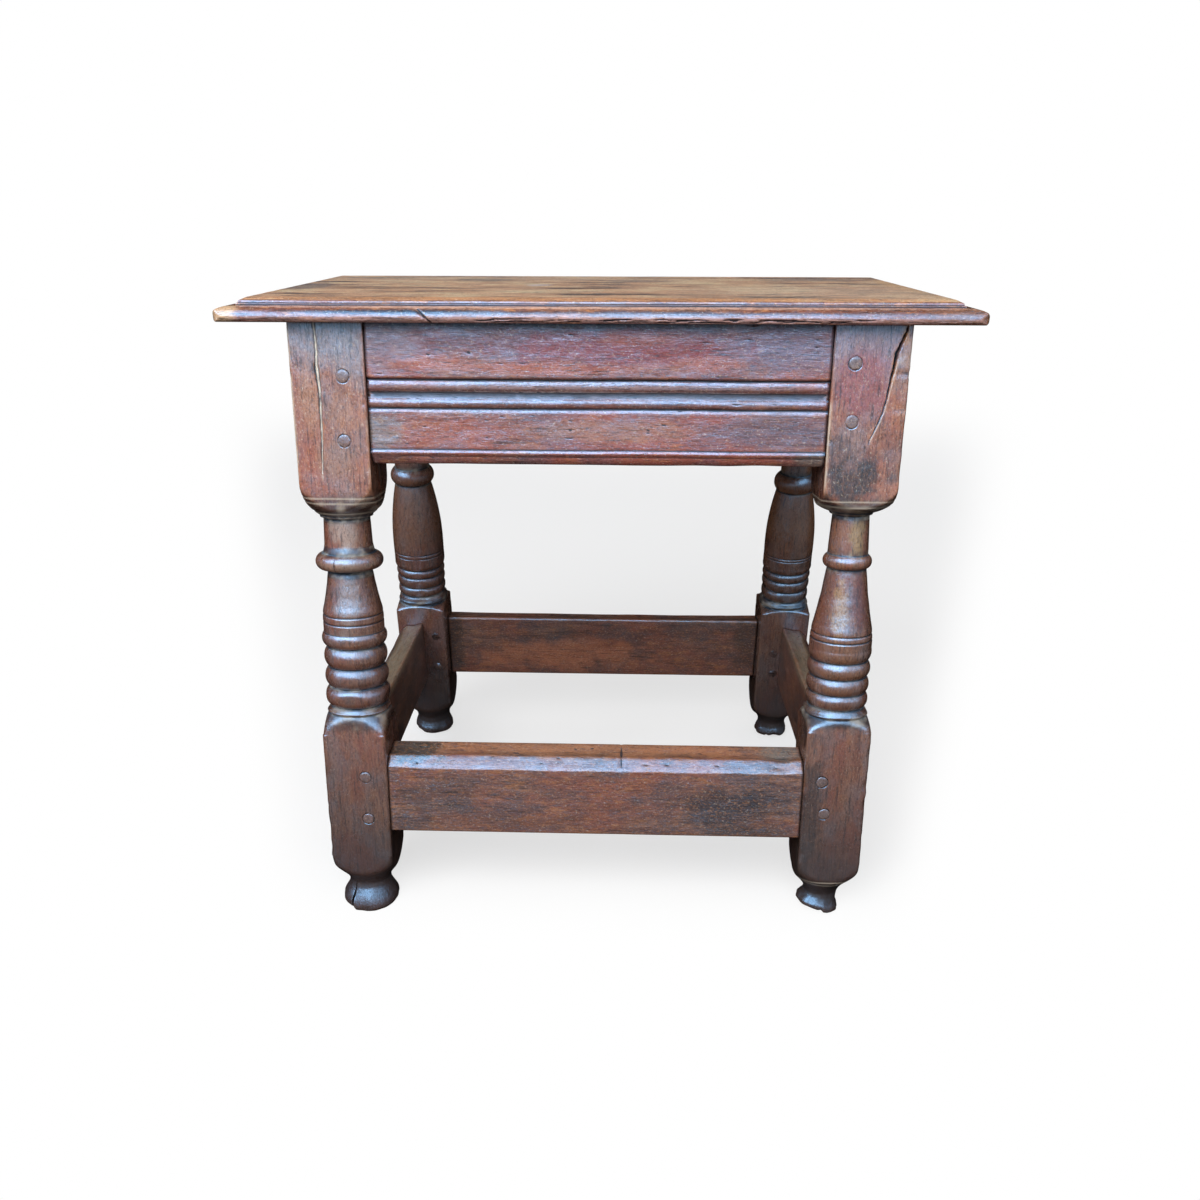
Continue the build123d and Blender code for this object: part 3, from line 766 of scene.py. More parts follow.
FEET = {                                # lift over the sole and radius, in mm, below the block
    "leg_front_left": ((27.0, 19.8), (23.0, 16.8), (19.5, 15.5), (16.5, 15.8), (13.0, 17.2),
                       (9.5, 19.1), (6.5, 20.6), (4.5, 21.2), (3.0, 21.3), (1.5, 20.8), (0.5, 20.0),
                       (0.0, 19.2)),
    "leg_front_right": ((27.0, 19.4), (23.0, 15.9), (19.5, 13.6), (16.0, 12.6), (12.0, 12.9),
                        (9.0, 13.6), (6.0, 14.6), (3.5, 15.6), (1.5, 15.8), (0.5, 15.4), (0.0, 14.8)),
    "leg_rear_left": ((27.0, 20.0), (23.0, 17.6), (19.0, 16.2), (15.0, 16.2), (11.0, 17.5),
                      (7.0, 19.0), (4.0, 19.3), (2.0, 18.8), (0.8, 17.9), (0.0, 16.8)),
    "leg_rear_right": ((27.0, 19.2), (22.0, 15.6), (17.0, 13.6), (12.0, 13.9), (7.0, 15.4),
                       (3.0, 16.2), (1.0, 15.8), (0.0, 15.0)),
}
WORN_SOLE = {                           # lift at the sole's front, inner and outer edge, in mm
    "leg_front_left": (0.0, 0.0, 2.2),
    "leg_front_right": (1.0, 6.0, 0.0),
    "leg_rear_left": (0.5, 0.0, 1.0),
    "leg_rear_right": (1.0, 1.5, 0.5),
}
# painted highlights along arrises, in the pale colour of dust
PAINTED_EDGE_HIGHLIGHTS = {                         # angle of the arris, its stretch in mm, and the amount
    "leg_front_left": ((math.pi / 4, -6, 108, 0.8), (3 * math.pi / 4, 60, 108, 0.3)),
    "leg_front_right": ((3 * math.pi / 4, 48, 112, 0.7), (math.pi / 4, -6, 40, 0.4)),
}
LATE_SWELL = {                          # drops in mm and the share of the radius that a vase keeps
    "leg_front_left": ((165, 167, 176, 184, 192, 200), (1.0, 0.92, 0.90, 0.915, 0.955, 1.0)),
    "leg_front_right": ((160, 163, 170, 179, 192, 205, 212),
                        (1.0, 0.95, 0.90, 0.86, 0.89, 0.96, 1.0)),
}
SCRIBED = {                             # drops of the fine lines round a leg, in mm
    "leg_front_left": (113.5, 117.0, 124.5),
    "leg_front_right": (112.5, 116.5, 394.0, 397.5),
}


def square_reach(angle, half, arris):
    """Distance from a block's axis to its face or rounded arris at an angle."""
    turn = (angle + math.pi / 4) % (math.pi / 2) - math.pi / 4
    flat = half / np.cos(turn)
    inner = half - arris
    toward = inner * (np.cos(np.abs(turn)) + np.sin(np.abs(turn)))
    rounded = toward + np.sqrt(np.maximum(toward ** 2 - 2 * inner ** 2 + arris ** 2, 0))
    on_arris = half * np.tan(np.abs(turn)) > inner
    return np.where(on_arris, rounded, flat)


def turned_radius(name, axes, legs):
    """A function of the drop that gives the turning's radius, read from the CAD leg."""
    local = axes.local(node_points(name))
    drop, radius = local[:, 2], np.hypot(local[:, 0], local[:, 1])
    place = np.round(drop / (0.05 * MM)).astype(int)
    lines = {}
    for key, t, r in zip(place, drop, radius):
        if key not in lines or r > lines[key][1]:
            lines[key] = (t, r)
    t, r = np.array([lines[key] for key in sorted(lines)]).T
    count = np.array([np.sum(place == key) for key in sorted(lines)])
    half_low = lower_half(name, axes)
    corner = half_low * math.sqrt(2) - 0.6 * MM
    start = t[(t > MID_LEG) & (r > corner)].min()
    sole = axes.origin[2] / math.cos(SPLAY)
    lift, reach = np.array(BLOCK_END + FEET[name]).T * MM
    foot_start = sole - lift[0] - 0.1 * MM
    keep = (count >= 3) & (t > legs.upper_block_drop + 0.2 * MM) & (t <= start)
    if name in LATE_SWELL:
        drops, shares = LATE_SWELL[name]
        r = r * np.interp(t / MM, drops, shares)
    t, r = np.append(t[keep], sole - lift), np.append(r[keep], reach)
    upper = t <= start
    foot = t > foot_start

    def radius_at(drop_now):
        on_turning = smooth_line(t[upper], r[upper], drop_now)
        on_foot = smooth_line(t[foot], r[foot], drop_now)
        far = 0.1
        result = np.where(drop_now < legs.upper_block_drop, far, on_turning)
        result = np.where(drop_now > start, far, result)
        return np.where(drop_now > t[foot][0], on_foot, result)

    return radius_at, start, t[foot][0]


def lower_half(name, axes):
    """Half the width of a leg's lower block."""
    local = axes.local(node_points(name))
    low = (local[:, 2] > 0.30) & (local[:, 2] < 0.36)
    return np.percentile(np.abs(local[low, 0]), 98)


def leg_columns(half, arris, crack):
    """Angles of the mesh columns: closer at the arrises and at a crack."""
    flat = half - arris
    face = np.concatenate((-flat + np.array((0.0, 0.7, 1.6)) * MM,
                           evenly(-flat + 2.8 * MM, flat - 2.8 * MM, 1.9 * MM),
                           flat - np.array((2.8, 1.6, 0.7)) * MM, [flat]))
    corner = np.radians(np.arange(11.25, 90, 11.25))
    angles = []
    for quarter in range(4):
        facing = quarter * math.pi / 2
        spots = face
        if quarter == 1:
            if crack:
                home = crack.across[0]
                close = np.array((-2.6, -2.1, -1.6, -1.2, -0.8, -0.4, 0, 0.4, 0.8, 1.2, 1.6, 2.1, 2.6))
                spots = spots[np.abs(spots - home) > 3.0 * MM]
                spots = np.concatenate((spots, home + close * MM))
            spots = np.sort(-spots)
        angles += (facing + np.arctan2(spots, half)).tolist()
        angles += (facing + np.arctan2(flat + arris * np.sin(corner),
                                       flat + arris * np.cos(corner))).tolist()
    return np.array(angles)


def leg_rows(legs, start, foot_start, bottom):
    """Drops of the mesh rows."""
    return np.concatenate((
        evenly(0, legs.upper_block_drop - 6 * MM, legs.block_grid),
        evenly(legs.upper_block_drop - 6 * MM, start + 3 * MM, legs.turned_grid),
        evenly(start + 3 * MM, foot_start - 3 * MM, legs.block_grid),
        evenly(foot_start - 3 * MM, bottom, 0.7 * MM), [bottom]))


def follow_crack(angles, drops, crack, half):
    """Moves the columns of a face sideways so that they run along a crack."""
    grid = np.broadcast_to(angles, (len(drops), len(angles))).copy()
    facing = math.pi / 2
    on_face = np.abs(angles - facing) < math.atan2(half - 1.4 * MM, half)
    home = crack.across[0]
    across = -half * np.tan(angles[on_face] - facing)
    goal = crack.place(drops)
    fade = ease((crack.drop[-1] + 25 * MM - drops) / (22 * MM))
    goal = home + (goal - home) * fade
    core = 2.8 * MM
    moved = np.empty((len(drops), on_face.sum()))
    for i, centre in enumerate(goal):
        knots = np.array((-half, home - core, home + core, half))
        targets = np.array((-half, centre - core, centre + core, half))
        moved[i] = np.interp(across, knots, targets)
    grid[:, on_face] = facing + np.arctan2(-moved, half)
    return grid


def leg_surface(name):
    """One leg, with its wear and cracks, as a surface."""
    legs = bpy.context.scene.stool_legs
    axes = leg_axes(name)
    seed = 10 + 7 * sorted(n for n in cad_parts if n.startswith("leg_")).index(name)
    top = axes.local(node_points(name))
    half_up = np.percentile(np.abs(top[top[:, 2] < 4 * MM, 0]), 98)
    half_low = lower_half(name, axes)
    radius_at, start, foot_start = turned_radius(name, axes, legs)
    bottom = axes.origin[2] / math.cos(SPLAY)
    crack = CRACKS.get(name)
    drops = leg_rows(legs, start, foot_start, bottom)
    angles = leg_columns(half_up, legs.arris, crack)
    grid_angle = np.broadcast_to(angles, (len(drops), len(angles))).copy()
    if crack:
        grid_angle = follow_crack(angles, drops, crack, half_up)
    drop = np.broadcast_to(drops[:, None], grid_angle.shape)
    half = np.where(drop < MID_LEG, half_up, half_low)
    direction = np.stack((np.cos(grid_angle), np.sin(grid_angle), np.zeros_like(drop)), -1)
    rough_place = direction * half[..., None] + np.stack((0 * drop, 0 * drop, drop), -1)
    worn = np.abs(lumps(rough_place, (9, 9, 14), seed, 3)) ** 1.5
    low_block = ease((drop - LOW_WEAR) / (10 * MM))
    arris = legs.arris * (0.9 + 2.2 * worn) * (1 + 0.8 * low_block)
    square = square_reach(grid_angle, half, arris)
    square = square - legs.dent * ease(lumps(rough_place, (20, 20, 26), seed + 1, 3))
    chips = ease((np.abs(lumps(rough_place, (5, 5, 7), seed + 2, 2)) - 0.55) / 0.3)
    at_arris = ease((square / half - 1.22) / 0.14)
    square = square - 1.6 * legs.dent * chips * at_arris
    turning = radius_at(drop) * (1 + 0.006 * lumps(rough_place, (30, 30, 30), seed + 3, 2))
    for scribed in SCRIBED.get(name, ()):
        turning = turning - 0.5 * MM * hump(drop, scribed * MM, 0.45 * MM)
    dents = ease((lumps(rough_place, (7, 7, 9), seed + 4, 2) - 0.45) / 0.4)
    turning = turning - 0.5 * legs.dent * dents
    reach = soft_least(square, turning, legs.turned_arris * (1 + 2.5 * low_block))

    foot = ease((drop - (bottom - 20 * MM)) / (14 * MM))
    if name == "leg_front_right":
        reach = reach * (1 - 0.15 * foot * direction[..., 0])
    rugged = 1.0 if name != "leg_front_left" else 0.35
    uneven = ease(0.5 + lumps(rough_place, (8, 8, 20), seed + 5, 3))
    reach = reach * (1 - foot * rugged * 0.06 * uneven)

    taper = 12 * MM
    ends = ease((taper - drop) / taper) + ease((drop - (bottom - taper)) / taper)
    level = direction[..., 1] * reach * math.tan(SPLAY)
    place = direction * reach[..., None]
    place[..., 2] = drop + level * ends

    dark, light = np.zeros(drop.shape), np.zeros(drop.shape)
    if crack:
        on_face = np.abs(grid_angle - math.pi / 2) < math.pi / 4
        outer = -half * np.tan(grid_angle - math.pi / 2) - crack.place(drop)
        offset = np.abs(outer)
        ragged = 1 + 0.6 * lumps(rough_place, (3, 3, 2.6), seed + 7, 3)
        width = crack.at(drop, crack.widths) / 2 * ragged
        depth = crack.at(drop, crack.depths)
        open_share = np.where(on_face, ease(1.35 - offset / np.maximum(width, 0.25 * MM)), 0)
        open_share = open_share * ease(depth / (0.2 * MM))
        filling = crack.filled * (drop < crack.filled_to)
        inside = ease((0.65 - offset / np.maximum(width, 0.25 * MM)) / 0.3)
        place[..., 1] -= depth * open_share * (1 - 0.6 * inside * filling)
        patchy = ease(1.0 + 1.2 * lumps(rough_place, (6, 6, 4), seed + 12, 3))
        light = open_share * inside * filling * patchy
        dark = np.where(inside * filling > 0.5, open_share * (1 - inside), open_share)
        torn_lip = hump(outer, 1.25 * width + 0.5 * MM, 0.32 * MM) * (width > 0.2 * MM) * on_face
        torn_lip = torn_lip * ease((drop - 18 * MM) / (10 * MM))
        light = np.maximum(light, crack.lip * torn_lip * patchy)
    for across, along, wide, long, deep in CHIPS.get(name, ()):
        away = np.hypot((place[..., 0] / MM - across) / wide, (drop / MM - along) / long)
        away = away + 0.25 * lumps(rough_place, (4, 4, 4), seed + 8, 2)
        place[..., 1] -= deep * MM * ease((1.1 - away) / 0.35) * (place[..., 1] > 0.6 * half)

    at_front, at_inside, at_outside = WORN_SOLE[name]
    sole = ease((drop - (bottom - 18 * MM)) / (18 * MM))
    lift = at_front * ease(0.5 + place[..., 1] / (26 * MM))
    lift = lift + at_inside * ease(0.5 - place[..., 0] / (26 * MM))
    lift = lift + at_outside * ease((place[..., 0] - 8 * MM) / (3 * MM))
    if name == "leg_rear_right":
        lift = lift + 3.0 * hump(place[..., 0], 2 * MM, 6 * MM)
    place[..., 2] -= lift * MM * sole
    ragged_sole = 1.6 * MM * ease(lumps(rough_place, (6, 6, 50), seed + 6, 2))
    place[..., 2] -= sole ** 4 * ragged_sole * rugged

    around = reach.max(axis=1)
    above = np.array([around[np.abs(drops - here) < 6 * MM].max() for here in drops])
    turned = ease((drops - legs.upper_block_drop) / (12 * MM)) * ease((start - drops) / (6 * MM))
    sunk = turned * ease((above - around - 0.6 * MM) / (4.5 * MM))
    # darker over the whole turned part, and most in its recesses
    turned_darkening = 1 - (1 - 0.38 * turned) * (1 - 0.80 * sunk)
    rings = closed_rings(axes.world(place))
    rings = np.clip(rings, *CAD_BOX)
    pegs = [peg for node in PEG_NODES for peg in pegs_of(node)]
    tint, amount = tinted(rings, LEG_PATCHES[name], functools.partial(leg_spot, name))
    for scribed in SCRIBED.get(name, ()):
        light = np.maximum(light, 0.55 * hump(drop, (scribed + 0.9) * MM, 0.5 * MM))
    # painted highlights along some arrises
    for angle, first, last, amount_now in PAINTED_EDGE_HIGHLIGHTS.get(name, ()):
        along_edge = ease((drop / MM - first) / 6) * ease((last - drop / MM) / 12)
        patchy = ease(0.7 + 1.2 * lumps(rough_place, (6, 6, 9), seed + 9, 3))
        light = np.maximum(light, amount_now * hump(grid_angle, angle, 0.022) * along_edge * patchy)
    cove = sunk[:, None] * ease(0.2 + 1.1 * lumps(rough_place, (7, 7, 4), seed + 11, 3))
    light = np.maximum(light, 0.42 * cove)
    surface = Surface(piece_name(name))

    def padded(values):
        extra = (len(rings) - len(values)) // 2
        return np.concatenate([values[:1]] * extra + [values] + [values[-1:]] * extra)

    # painted shade, with the turned part's darkening laid over it
    shade = 1 - (1 - gloom(rings)) * (1 - padded(turned_darkening[:, None] + 0 * drop))
    surface.tube(rings, grain_along(axes, (2, 0, 1), (0.3 * seed, 0.1, 0.2)), tint=tint,
                 tinted=amount, gloom=shade, dark=padded(dark), light=padded(light),
                 rim=peg_rings(rings, pegs))
    return surface


def leg_spot(name, across, drop, outwards=24.2):
    """A place on a leg in mm: across, drop, and how far out of its axis."""
    return tuple(leg_axes(name).world(np.array((across, outwards, drop)) * MM) / MM)


# the blue-grey tone is wax bloom and painted sheen
BLOOM_AND_SHEEN, ORANGE, DUSK = (0.250, 0.260, 0.310), (0.40, 0.20, 0.12), (0.045, 0.032, 0.032)
# painted warm light and a painted highlight for the rear legs' turnings
PAINTED_WARM_LIGHT, PAINTED_HIGHLIGHT = (0.58, 0.30, 0.18), (0.78, 0.76, 0.80)
LEG_PATCHES = {                         # middles are across, drop and, if not 24.2, out of the axis
    "leg_front_left": [
        # wax bloom and painted sheen over the top of the upper block
        ((2, 10), (34, 20, 20), BLOOM_AND_SHEEN, 0.85),
        ((-14, 26), (11, 14, 14), BLOOM_AND_SHEEN, 0.6),
        ((13, 50), (8, 14, 22), ORANGE, 0.8),
        ((-6, 60), (9, 14, 12), ORANGE, 0.45),
        ((-2, 88), (14, 14, 14), (0.33, 0.21, 0.17), 0.6),
        ((8, 31), (3, 6, 5), DUSK, 0.9),
        ((-1, 134, 15), (9, 14, 20), (0.66, 0.50, 0.43), 0.85, 0.6),
        # a painted highlight down the vase
        ((-2, 190, 20), (9, 14, 24), (0.48, 0.40, 0.39), 0.65, 0.6),
        ((0, 161, 20), (24, 24, 4), (0.60, 0.50, 0.42), 0.5, 0.7),
        ((0, 408, 0), (30, 30, 16), (0.09, 0.055, 0.045), 0.6, 0.7),
    ],
    "leg_front_right": [
        # wax bloom and painted sheen over the top of the upper block
        ((0, 14), (34, 20, 20), (0.25, 0.22, 0.30), 0.7),
        ((-4, 40), (20, 14, 24), (0.30, 0.075, 0.07), 0.8),
        ((20, 8), (3, 8, 9), (0.55, 0.26, 0.10), 0.9),
        ((14, 30), (2, 8, 14), (0.50, 0.22, 0.09), 0.7),
        ((18, 55), (6, 10, 8), (0.42, 0.24, 0.16), 0.8),
        ((19, 78), (6, 10, 18), (0.30, 0.13, 0.10), 0.6),
        ((-7, 101), (24, 12, 13), (0.055, 0.044, 0.042), 0.95, 0.9),
        ((-15, 84), (10, 12, 14), DUSK, 0.5, 0.9),
        ((4, 86), (9, 12, 9), DUSK, 0.35, 0.9),
        ((-17, 335), (9, 14, 52), DUSK, 0.75, 0.7),
        ((8, 330), (6, 14, 30), (0.46, 0.20, 0.10), 0.35, 0.7),
        # a painted golden reflection on the neck
        ((3, 134, 16), (6, 12, 20), (0.62, 0.44, 0.22), 0.8, 0.6),
        ((-8, 134, 14), (6, 12, 20), (0.46, 0.20, 0.10), 0.6, 0.7),
        # a painted golden reflection down the vase
        ((-6, 184, 20), (6, 12, 26), (0.66, 0.40, 0.19), 0.8, 0.7),
        ((8, 184, 16), (7, 12, 26), (0.26, 0.08, 0.08), 0.6, 0.7),
        ((-4, 232, 18), (18, 14, 26), (0.44, 0.20, 0.09), 0.5, 0.7),
        ((0, 408, 0), (30, 30, 16), (0.05, 0.042, 0.04), 0.8, 0.6),
    ],
    "leg_rear_left": [
        # painted warm light on the vase, a painted highlight down it, and painted highlights on the
        # bead crests
        ((0, 185, 0), (30, 30, 55), PAINTED_WARM_LIGHT, 0.6),
        ((4, 185, 22), (5, 14, 40), (0.78, 0.56, 0.38), 0.7, 0.6),
        ((2, 244.6, 24), (15, 14, 1.5), PAINTED_HIGHLIGHT, 0.8),
        ((2, 254.4, 24), (15, 14, 1.6), PAINTED_HIGHLIGHT, 0.8),
        ((2, 262.6, 24), (15, 14, 1.4), PAINTED_HIGHLIGHT, 0.8),
        ((0, 408, 0), (30, 30, 20), (0.06, 0.055, 0.052), 0.7, 0.6),
    ],
    "leg_rear_right": [
        # painted warm light on the vase, a painted highlight down it, and painted highlights on the
        # bead crests
        ((0, 185, 0), (30, 30, 55), (0.80, 0.38, 0.20), 0.85),
        ((-4, 185, 22), (5, 14, 40), (0.80, 0.60, 0.40), 0.6, 0.6),
        ((-2, 244.6, 24), (15, 14, 1.5), PAINTED_HIGHLIGHT, 0.8),
        ((-2, 254.4, 24), (15, 14, 1.6), PAINTED_HIGHLIGHT, 0.8),
        ((-2, 264.4, 24), (15, 14, 1.4), PAINTED_HIGHLIGHT, 0.8),
        ((0, 408, 0), (30, 30, 20), (0.06, 0.055, 0.052), 0.7, 0.6),
    ],
}


class STOOL_OT_legs(bpy.types.Operator):
    """Turned legs with square blocks, worn arrises, cracks and feet of their own wear"""
    bl_idname = "stool.legs"
    bl_label = "Legs"

    def execute(self, context):
        for name in sorted(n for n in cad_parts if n.startswith("leg_")):
            leg_surface(name).make("root", "leg_oak", oak_for("leg"), [name])
        return {"FINISHED"}


# ---- Rails and stretchers --------------------------------------------------
def shoulder_section(name, axes, end_at, tolerance=0.06 * MM):
    """The outline (outwards, drop) of a member, read from its shoulder."""
    local = axes.local(node_points(name))
    on_shoulder = np.abs(np.abs(local[:, 0]) - end_at(local[:, 2])) < tolerance
    section = np.unique(np.round(local[on_shoulder][:, 1:] / (0.01 * MM)), axis=0) * 0.01 * MM
    back = section[:, 0].min()
    front = section[section[:, 0] > back + 0.7 * np.ptp(section[:, 0])]
    front = front[np.argsort(front[:, 1], kind="stable")]
    inner = section[section[:, 0] < back + 0.05 * MM]
    top, bottom = inner[:, 1].min(), inner[:, 1].max()
    return front, back, top, bottom


def drawn_round(corners, spacings):
    """Points along a closed outline; each corner starts a stretch with its own spacing."""
    points = []
    for start, end, spacing in zip(corners, np.roll(corners, -1, axis=0), spacings):
        count = max(1, int(math.ceil(np.linalg.norm(end - start) / spacing)))
        points += [start + (end - start) * k / count for k in range(count)]
    return np.array(points)


def softened(outline, passes):
    """An outline with its corners worn round."""
    for _ in range(passes):
        outline = outline * 0.5 + (np.roll(outline, 1, axis=0) + np.roll(outline, -1, axis=0)) * 0.25
    return outline


def tenon_boxes(name, axes, end_at):
    """The two tenons of a member, as (lowest, highest) local corners."""
    local = axes.local(node_points(name))
    boxes = []
    for side in (-1, 1):
        past = side * local[:, 0] > end_at(local[:, 2]) + 1 * MM
        boxes.append((local[past].min(0), local[past].max(0)))
    return boxes


def add_tenons(surface, axes, boxes, end_at, grain, seed):
    """Adds each tenon as a hewn block that starts inside its member."""
    for low, high in boxes:
        middle = (low + high) / 2
        side = math.copysign(1, middle[0])
        tip = max(abs(low[0]), abs(high[0]))
        root = end_at(middle[2]) - 12 * MM
        corners = np.array(((low[1], low[2]), (high[1], low[2]), (high[1], high[2]),
                            (low[1], high[2])))
        outline = softened(drawn_round(corners, [2 * MM] * 4), 1)
        stations = np.linspace(root, tip, 14)
        rings = np.array([[(side * x, u, t) for u, t in outline] for x in stations])
        rings[..., 1:] += 0.15 * MM * lumps(rings, 9, seed)[..., None] - 0.05 * MM
        rings = closed_rings(axes.world(rings))
        surface.tube(rings, grain)


def member_frame(where, inset):
    """A member's axes, its half length level with the board, and its half length at any drop."""
    corner = np.abs(leg_axes("leg_front_left").origin)
    if where in ("front", "rear"):
        axes, half, slope = frame_axes(-1 if where == "front" else 1), corner[0] - inset, 0.0
    else:
        axes = side_axes(-1 if where == "left" else 1)
        half, slope = corner[1] - inset / math.cos(SPLAY), math.tan(SPLAY)

    def end_at(drop):
        return half + slope * drop

    return axes, half, end_at


def member_rings(axes, outline, stations, end_at, change):
    """Rings of a member: the outline, changed at each station, between its shoulders."""
    place = np.empty((len(stations), len(outline), 3))
    place[..., 1:] = outline
    place[..., 0] = stations[:, None]
    place = change(place)
    place[..., 0] *= end_at(place[..., 2])
    return axes.world(place)


def near_joint(axes, rings, end_at):
    """Dirt at a member's shoulders, from 0 to 1."""
    local = axes.local(rings)
    return 0.9 * ease((1.6 * MM - (end_at(local[..., 2]) - np.abs(local[..., 0]))) / (1.3 * MM))


def make_member(name, axes, rings, end_at, offset, seed, tints, shade, dark=0.0):
    """Makes a rail or stretcher of its rings, with its tenons and the dirt at its shoulders."""
    kind = name.split("_")[0]
    surface = Surface(piece_name(name))
    grain = grain_along(axes, (0, 2, 1), offset)
    # painted shade, scaled by shade; dark adds the shoulders' dirt and, for rails, the painted shadow
    # of the board
    surface.tube(rings, grain, tint=tints[0], tinted=tints[1], gloom=gloom(rings) * shade,
                 dark=np.maximum(near_joint(axes, rings, end_at), dark))
    add_tenons(surface, axes, tenon_boxes(name, axes, end_at), end_at, grain, seed)
    surface.make("root", f"{kind}_oak", oak_for(kind), [name])


def front_spot(along, drop, out=19.0):
    """A place on the front frame in mm: along it, down from the board, and out of the legs' axes."""
    return tuple(frame_axes(-1).world(np.array((along, out, drop)) * MM) / MM)


# the first, grey-blue tone is a painted sheen
PAINTED_SHEEN, PLUM = (0.22, 0.20, 0.25), (0.17, 0.08, 0.10)
# the second, near-black tone is the painted shadow of the board
RUSSET, PAINTED_BOARD_SHADOW = (0.40, 0.12, 0.065), (0.07, 0.06, 0.055)
RAIL_INSET = 24.3 * MM                  # from a leg's axis to a rail's shoulder
RAIL_TINTS = {                          # middles are along the front frame and the drop
    "rail_front": [
        ((0, 16), (175, 12, 12), PLUM, 0.8),
        # a painted sheen at the upper left
        ((-138, 18), (30, 12, 17), PAINTED_SHEEN, 0.65),
        ((118, 20), (44, 12, 16), (0.17, 0.14, 0.20), 0.75),
        ((-105, 27), (32, 12, 5), RUSSET, 0.75),
        ((-30, 30), (60, 12, 5), RUSSET, 0.8),
        ((10, 18), (80, 12, 13), (0.22, 0.038, 0.033), 0.95, 0.6),
        ((30, 12), (28, 12, 5), RUSSET, 0.5),
        ((72, 27), (22, 12, 6), RUSSET, 0.6),
        ((-145, 70), (20, 12, 10), (0.25, 0.24, 0.23), 0.6, 0.9),
        ((-95, 70), (34, 12, 8), RUSSET, 0.5),
        ((10, 69), (60, 12, 8), (0.34, 0.19, 0.14), 0.6),
        ((116, 70), (50, 12, 12), (0.14, 0.095, 0.12), 0.75),
        ((142, 87), (14, 14, 6), (0.16, 0.15, 0.14), 0.8),
        ((0, 48), (175, 14, 11), (0.13, 0.075, 0.075), 0.65),
        # painted light on the lower half of the first bead, and a painted highlight on the fillet below
        # it
        ((0, 41.8), (178, 14, 1.6), (0.36, 0.27, 0.30), 0.6),
        ((0, 46.4), (178, 14, 1.8), (0.60, 0.53, 0.58), 0.75),
        # the painted shadow of the board along the rail's top
        ((0, 1.5), (180, 12, 4.5), PAINTED_BOARD_SHADOW, 0.85),
    ],
}


def make_rail(name):
    """One moulded rail with its tenons."""
    rails = bpy.context.scene.stool_rails
    where = name.split("_")[1]
    seed = 60 + 9 * WHERE.index(where)
    axes, shoulder, end_at = member_frame(where, RAIL_INSET)
    front, back, top, bottom = shoulder_section(name, axes, end_at)
    drops = np.append(evenly(front[0, 1], front[-1, 1], rails.outline), front[-1, 1])
    moulded = np.stack((smooth_line(front[:, 1], front[:, 0], drops), drops), -1)
    corners = np.concatenate((moulded, ((back, bottom), (back, top))))
    spacings = [1.0] * (len(moulded) - 1) + [2.5 * MM, 5 * MM, 3 * MM]
    outline = softened(drawn_round(corners, spacings), 1)
    face = front[:, 0].max()

    def change(place):
        along, out, drop = place[..., 0] * end_at(0.05), place[..., 1], place[..., 2]
        spot = np.stack((along, 0 * along, 0 * along + seed), -1)
        wave = rails.wave * lumps(spot, 55, seed, 3)
        on_face = ease((out - (face - 8 * MM)) / (6 * MM))
        in_mouldings = ease((drop - 28 * MM) / (10 * MM))
        place[..., 2] = drop + wave * on_face * in_mouldings * ease((bottom + 3 * MM - drop) / (5 * MM))
        low = ease((drop - (bottom - 6 * MM)) / (4 * MM))
        place[..., 2] += low * 0.7 * MM * lumps(spot, 40, seed + 1, 2)
        surface_place = np.stack((along, drop, 0 * along), -1)
        dips = lumps(surface_place, (24, 12, 20), seed + 2, 3)
        place[..., 1] -= on_face * 0.22 * MM * ease(dips)
        nicks = ease((lumps(surface_place, (5, 2.2, 9), seed + 3, 2) - 0.55) / 0.25)
        place[..., 1] -= on_face * 0.5 * MM * nicks
        if where == "front":
            worn_end = ease((-along - 122 * MM) / (22 * MM)) * low
            place[..., 1] -= 1.2 * MM * worn_end * on_face
        return place

    stations = np.linspace(-1, 1, int(2 * shoulder / rails.grid)) * (1 - rails.joint / shoulder)
    rings = closed_rings(member_rings(axes, outline, stations, end_at, change))
    drop = axes.local(rings)[..., 2]
    # painted shadow of the board along the top of each rail
    painted_board_shadow = 0.75 * ease((6.5 * MM - drop) / (5 * MM)) * ease(
        0.8 + lumps(rings, (7, 3, 3), seed + 4, 3))
    make_member(name, axes, rings, end_at, (0.7 * seed, 0.2, 0.1), seed,
                tinted(rings, RAIL_TINTS.get(name, ()), front_spot), 0.8, painted_board_shadow)


def crest(name):
    """Middle of the top of a CAD node, in mm."""
    low, high = node_points(name).min(0), node_points(name).max(0)
    return (low[0] + high[0]) / 2 / MM, (low[1] + high[1]) / 2 / MM, high[2] / MM


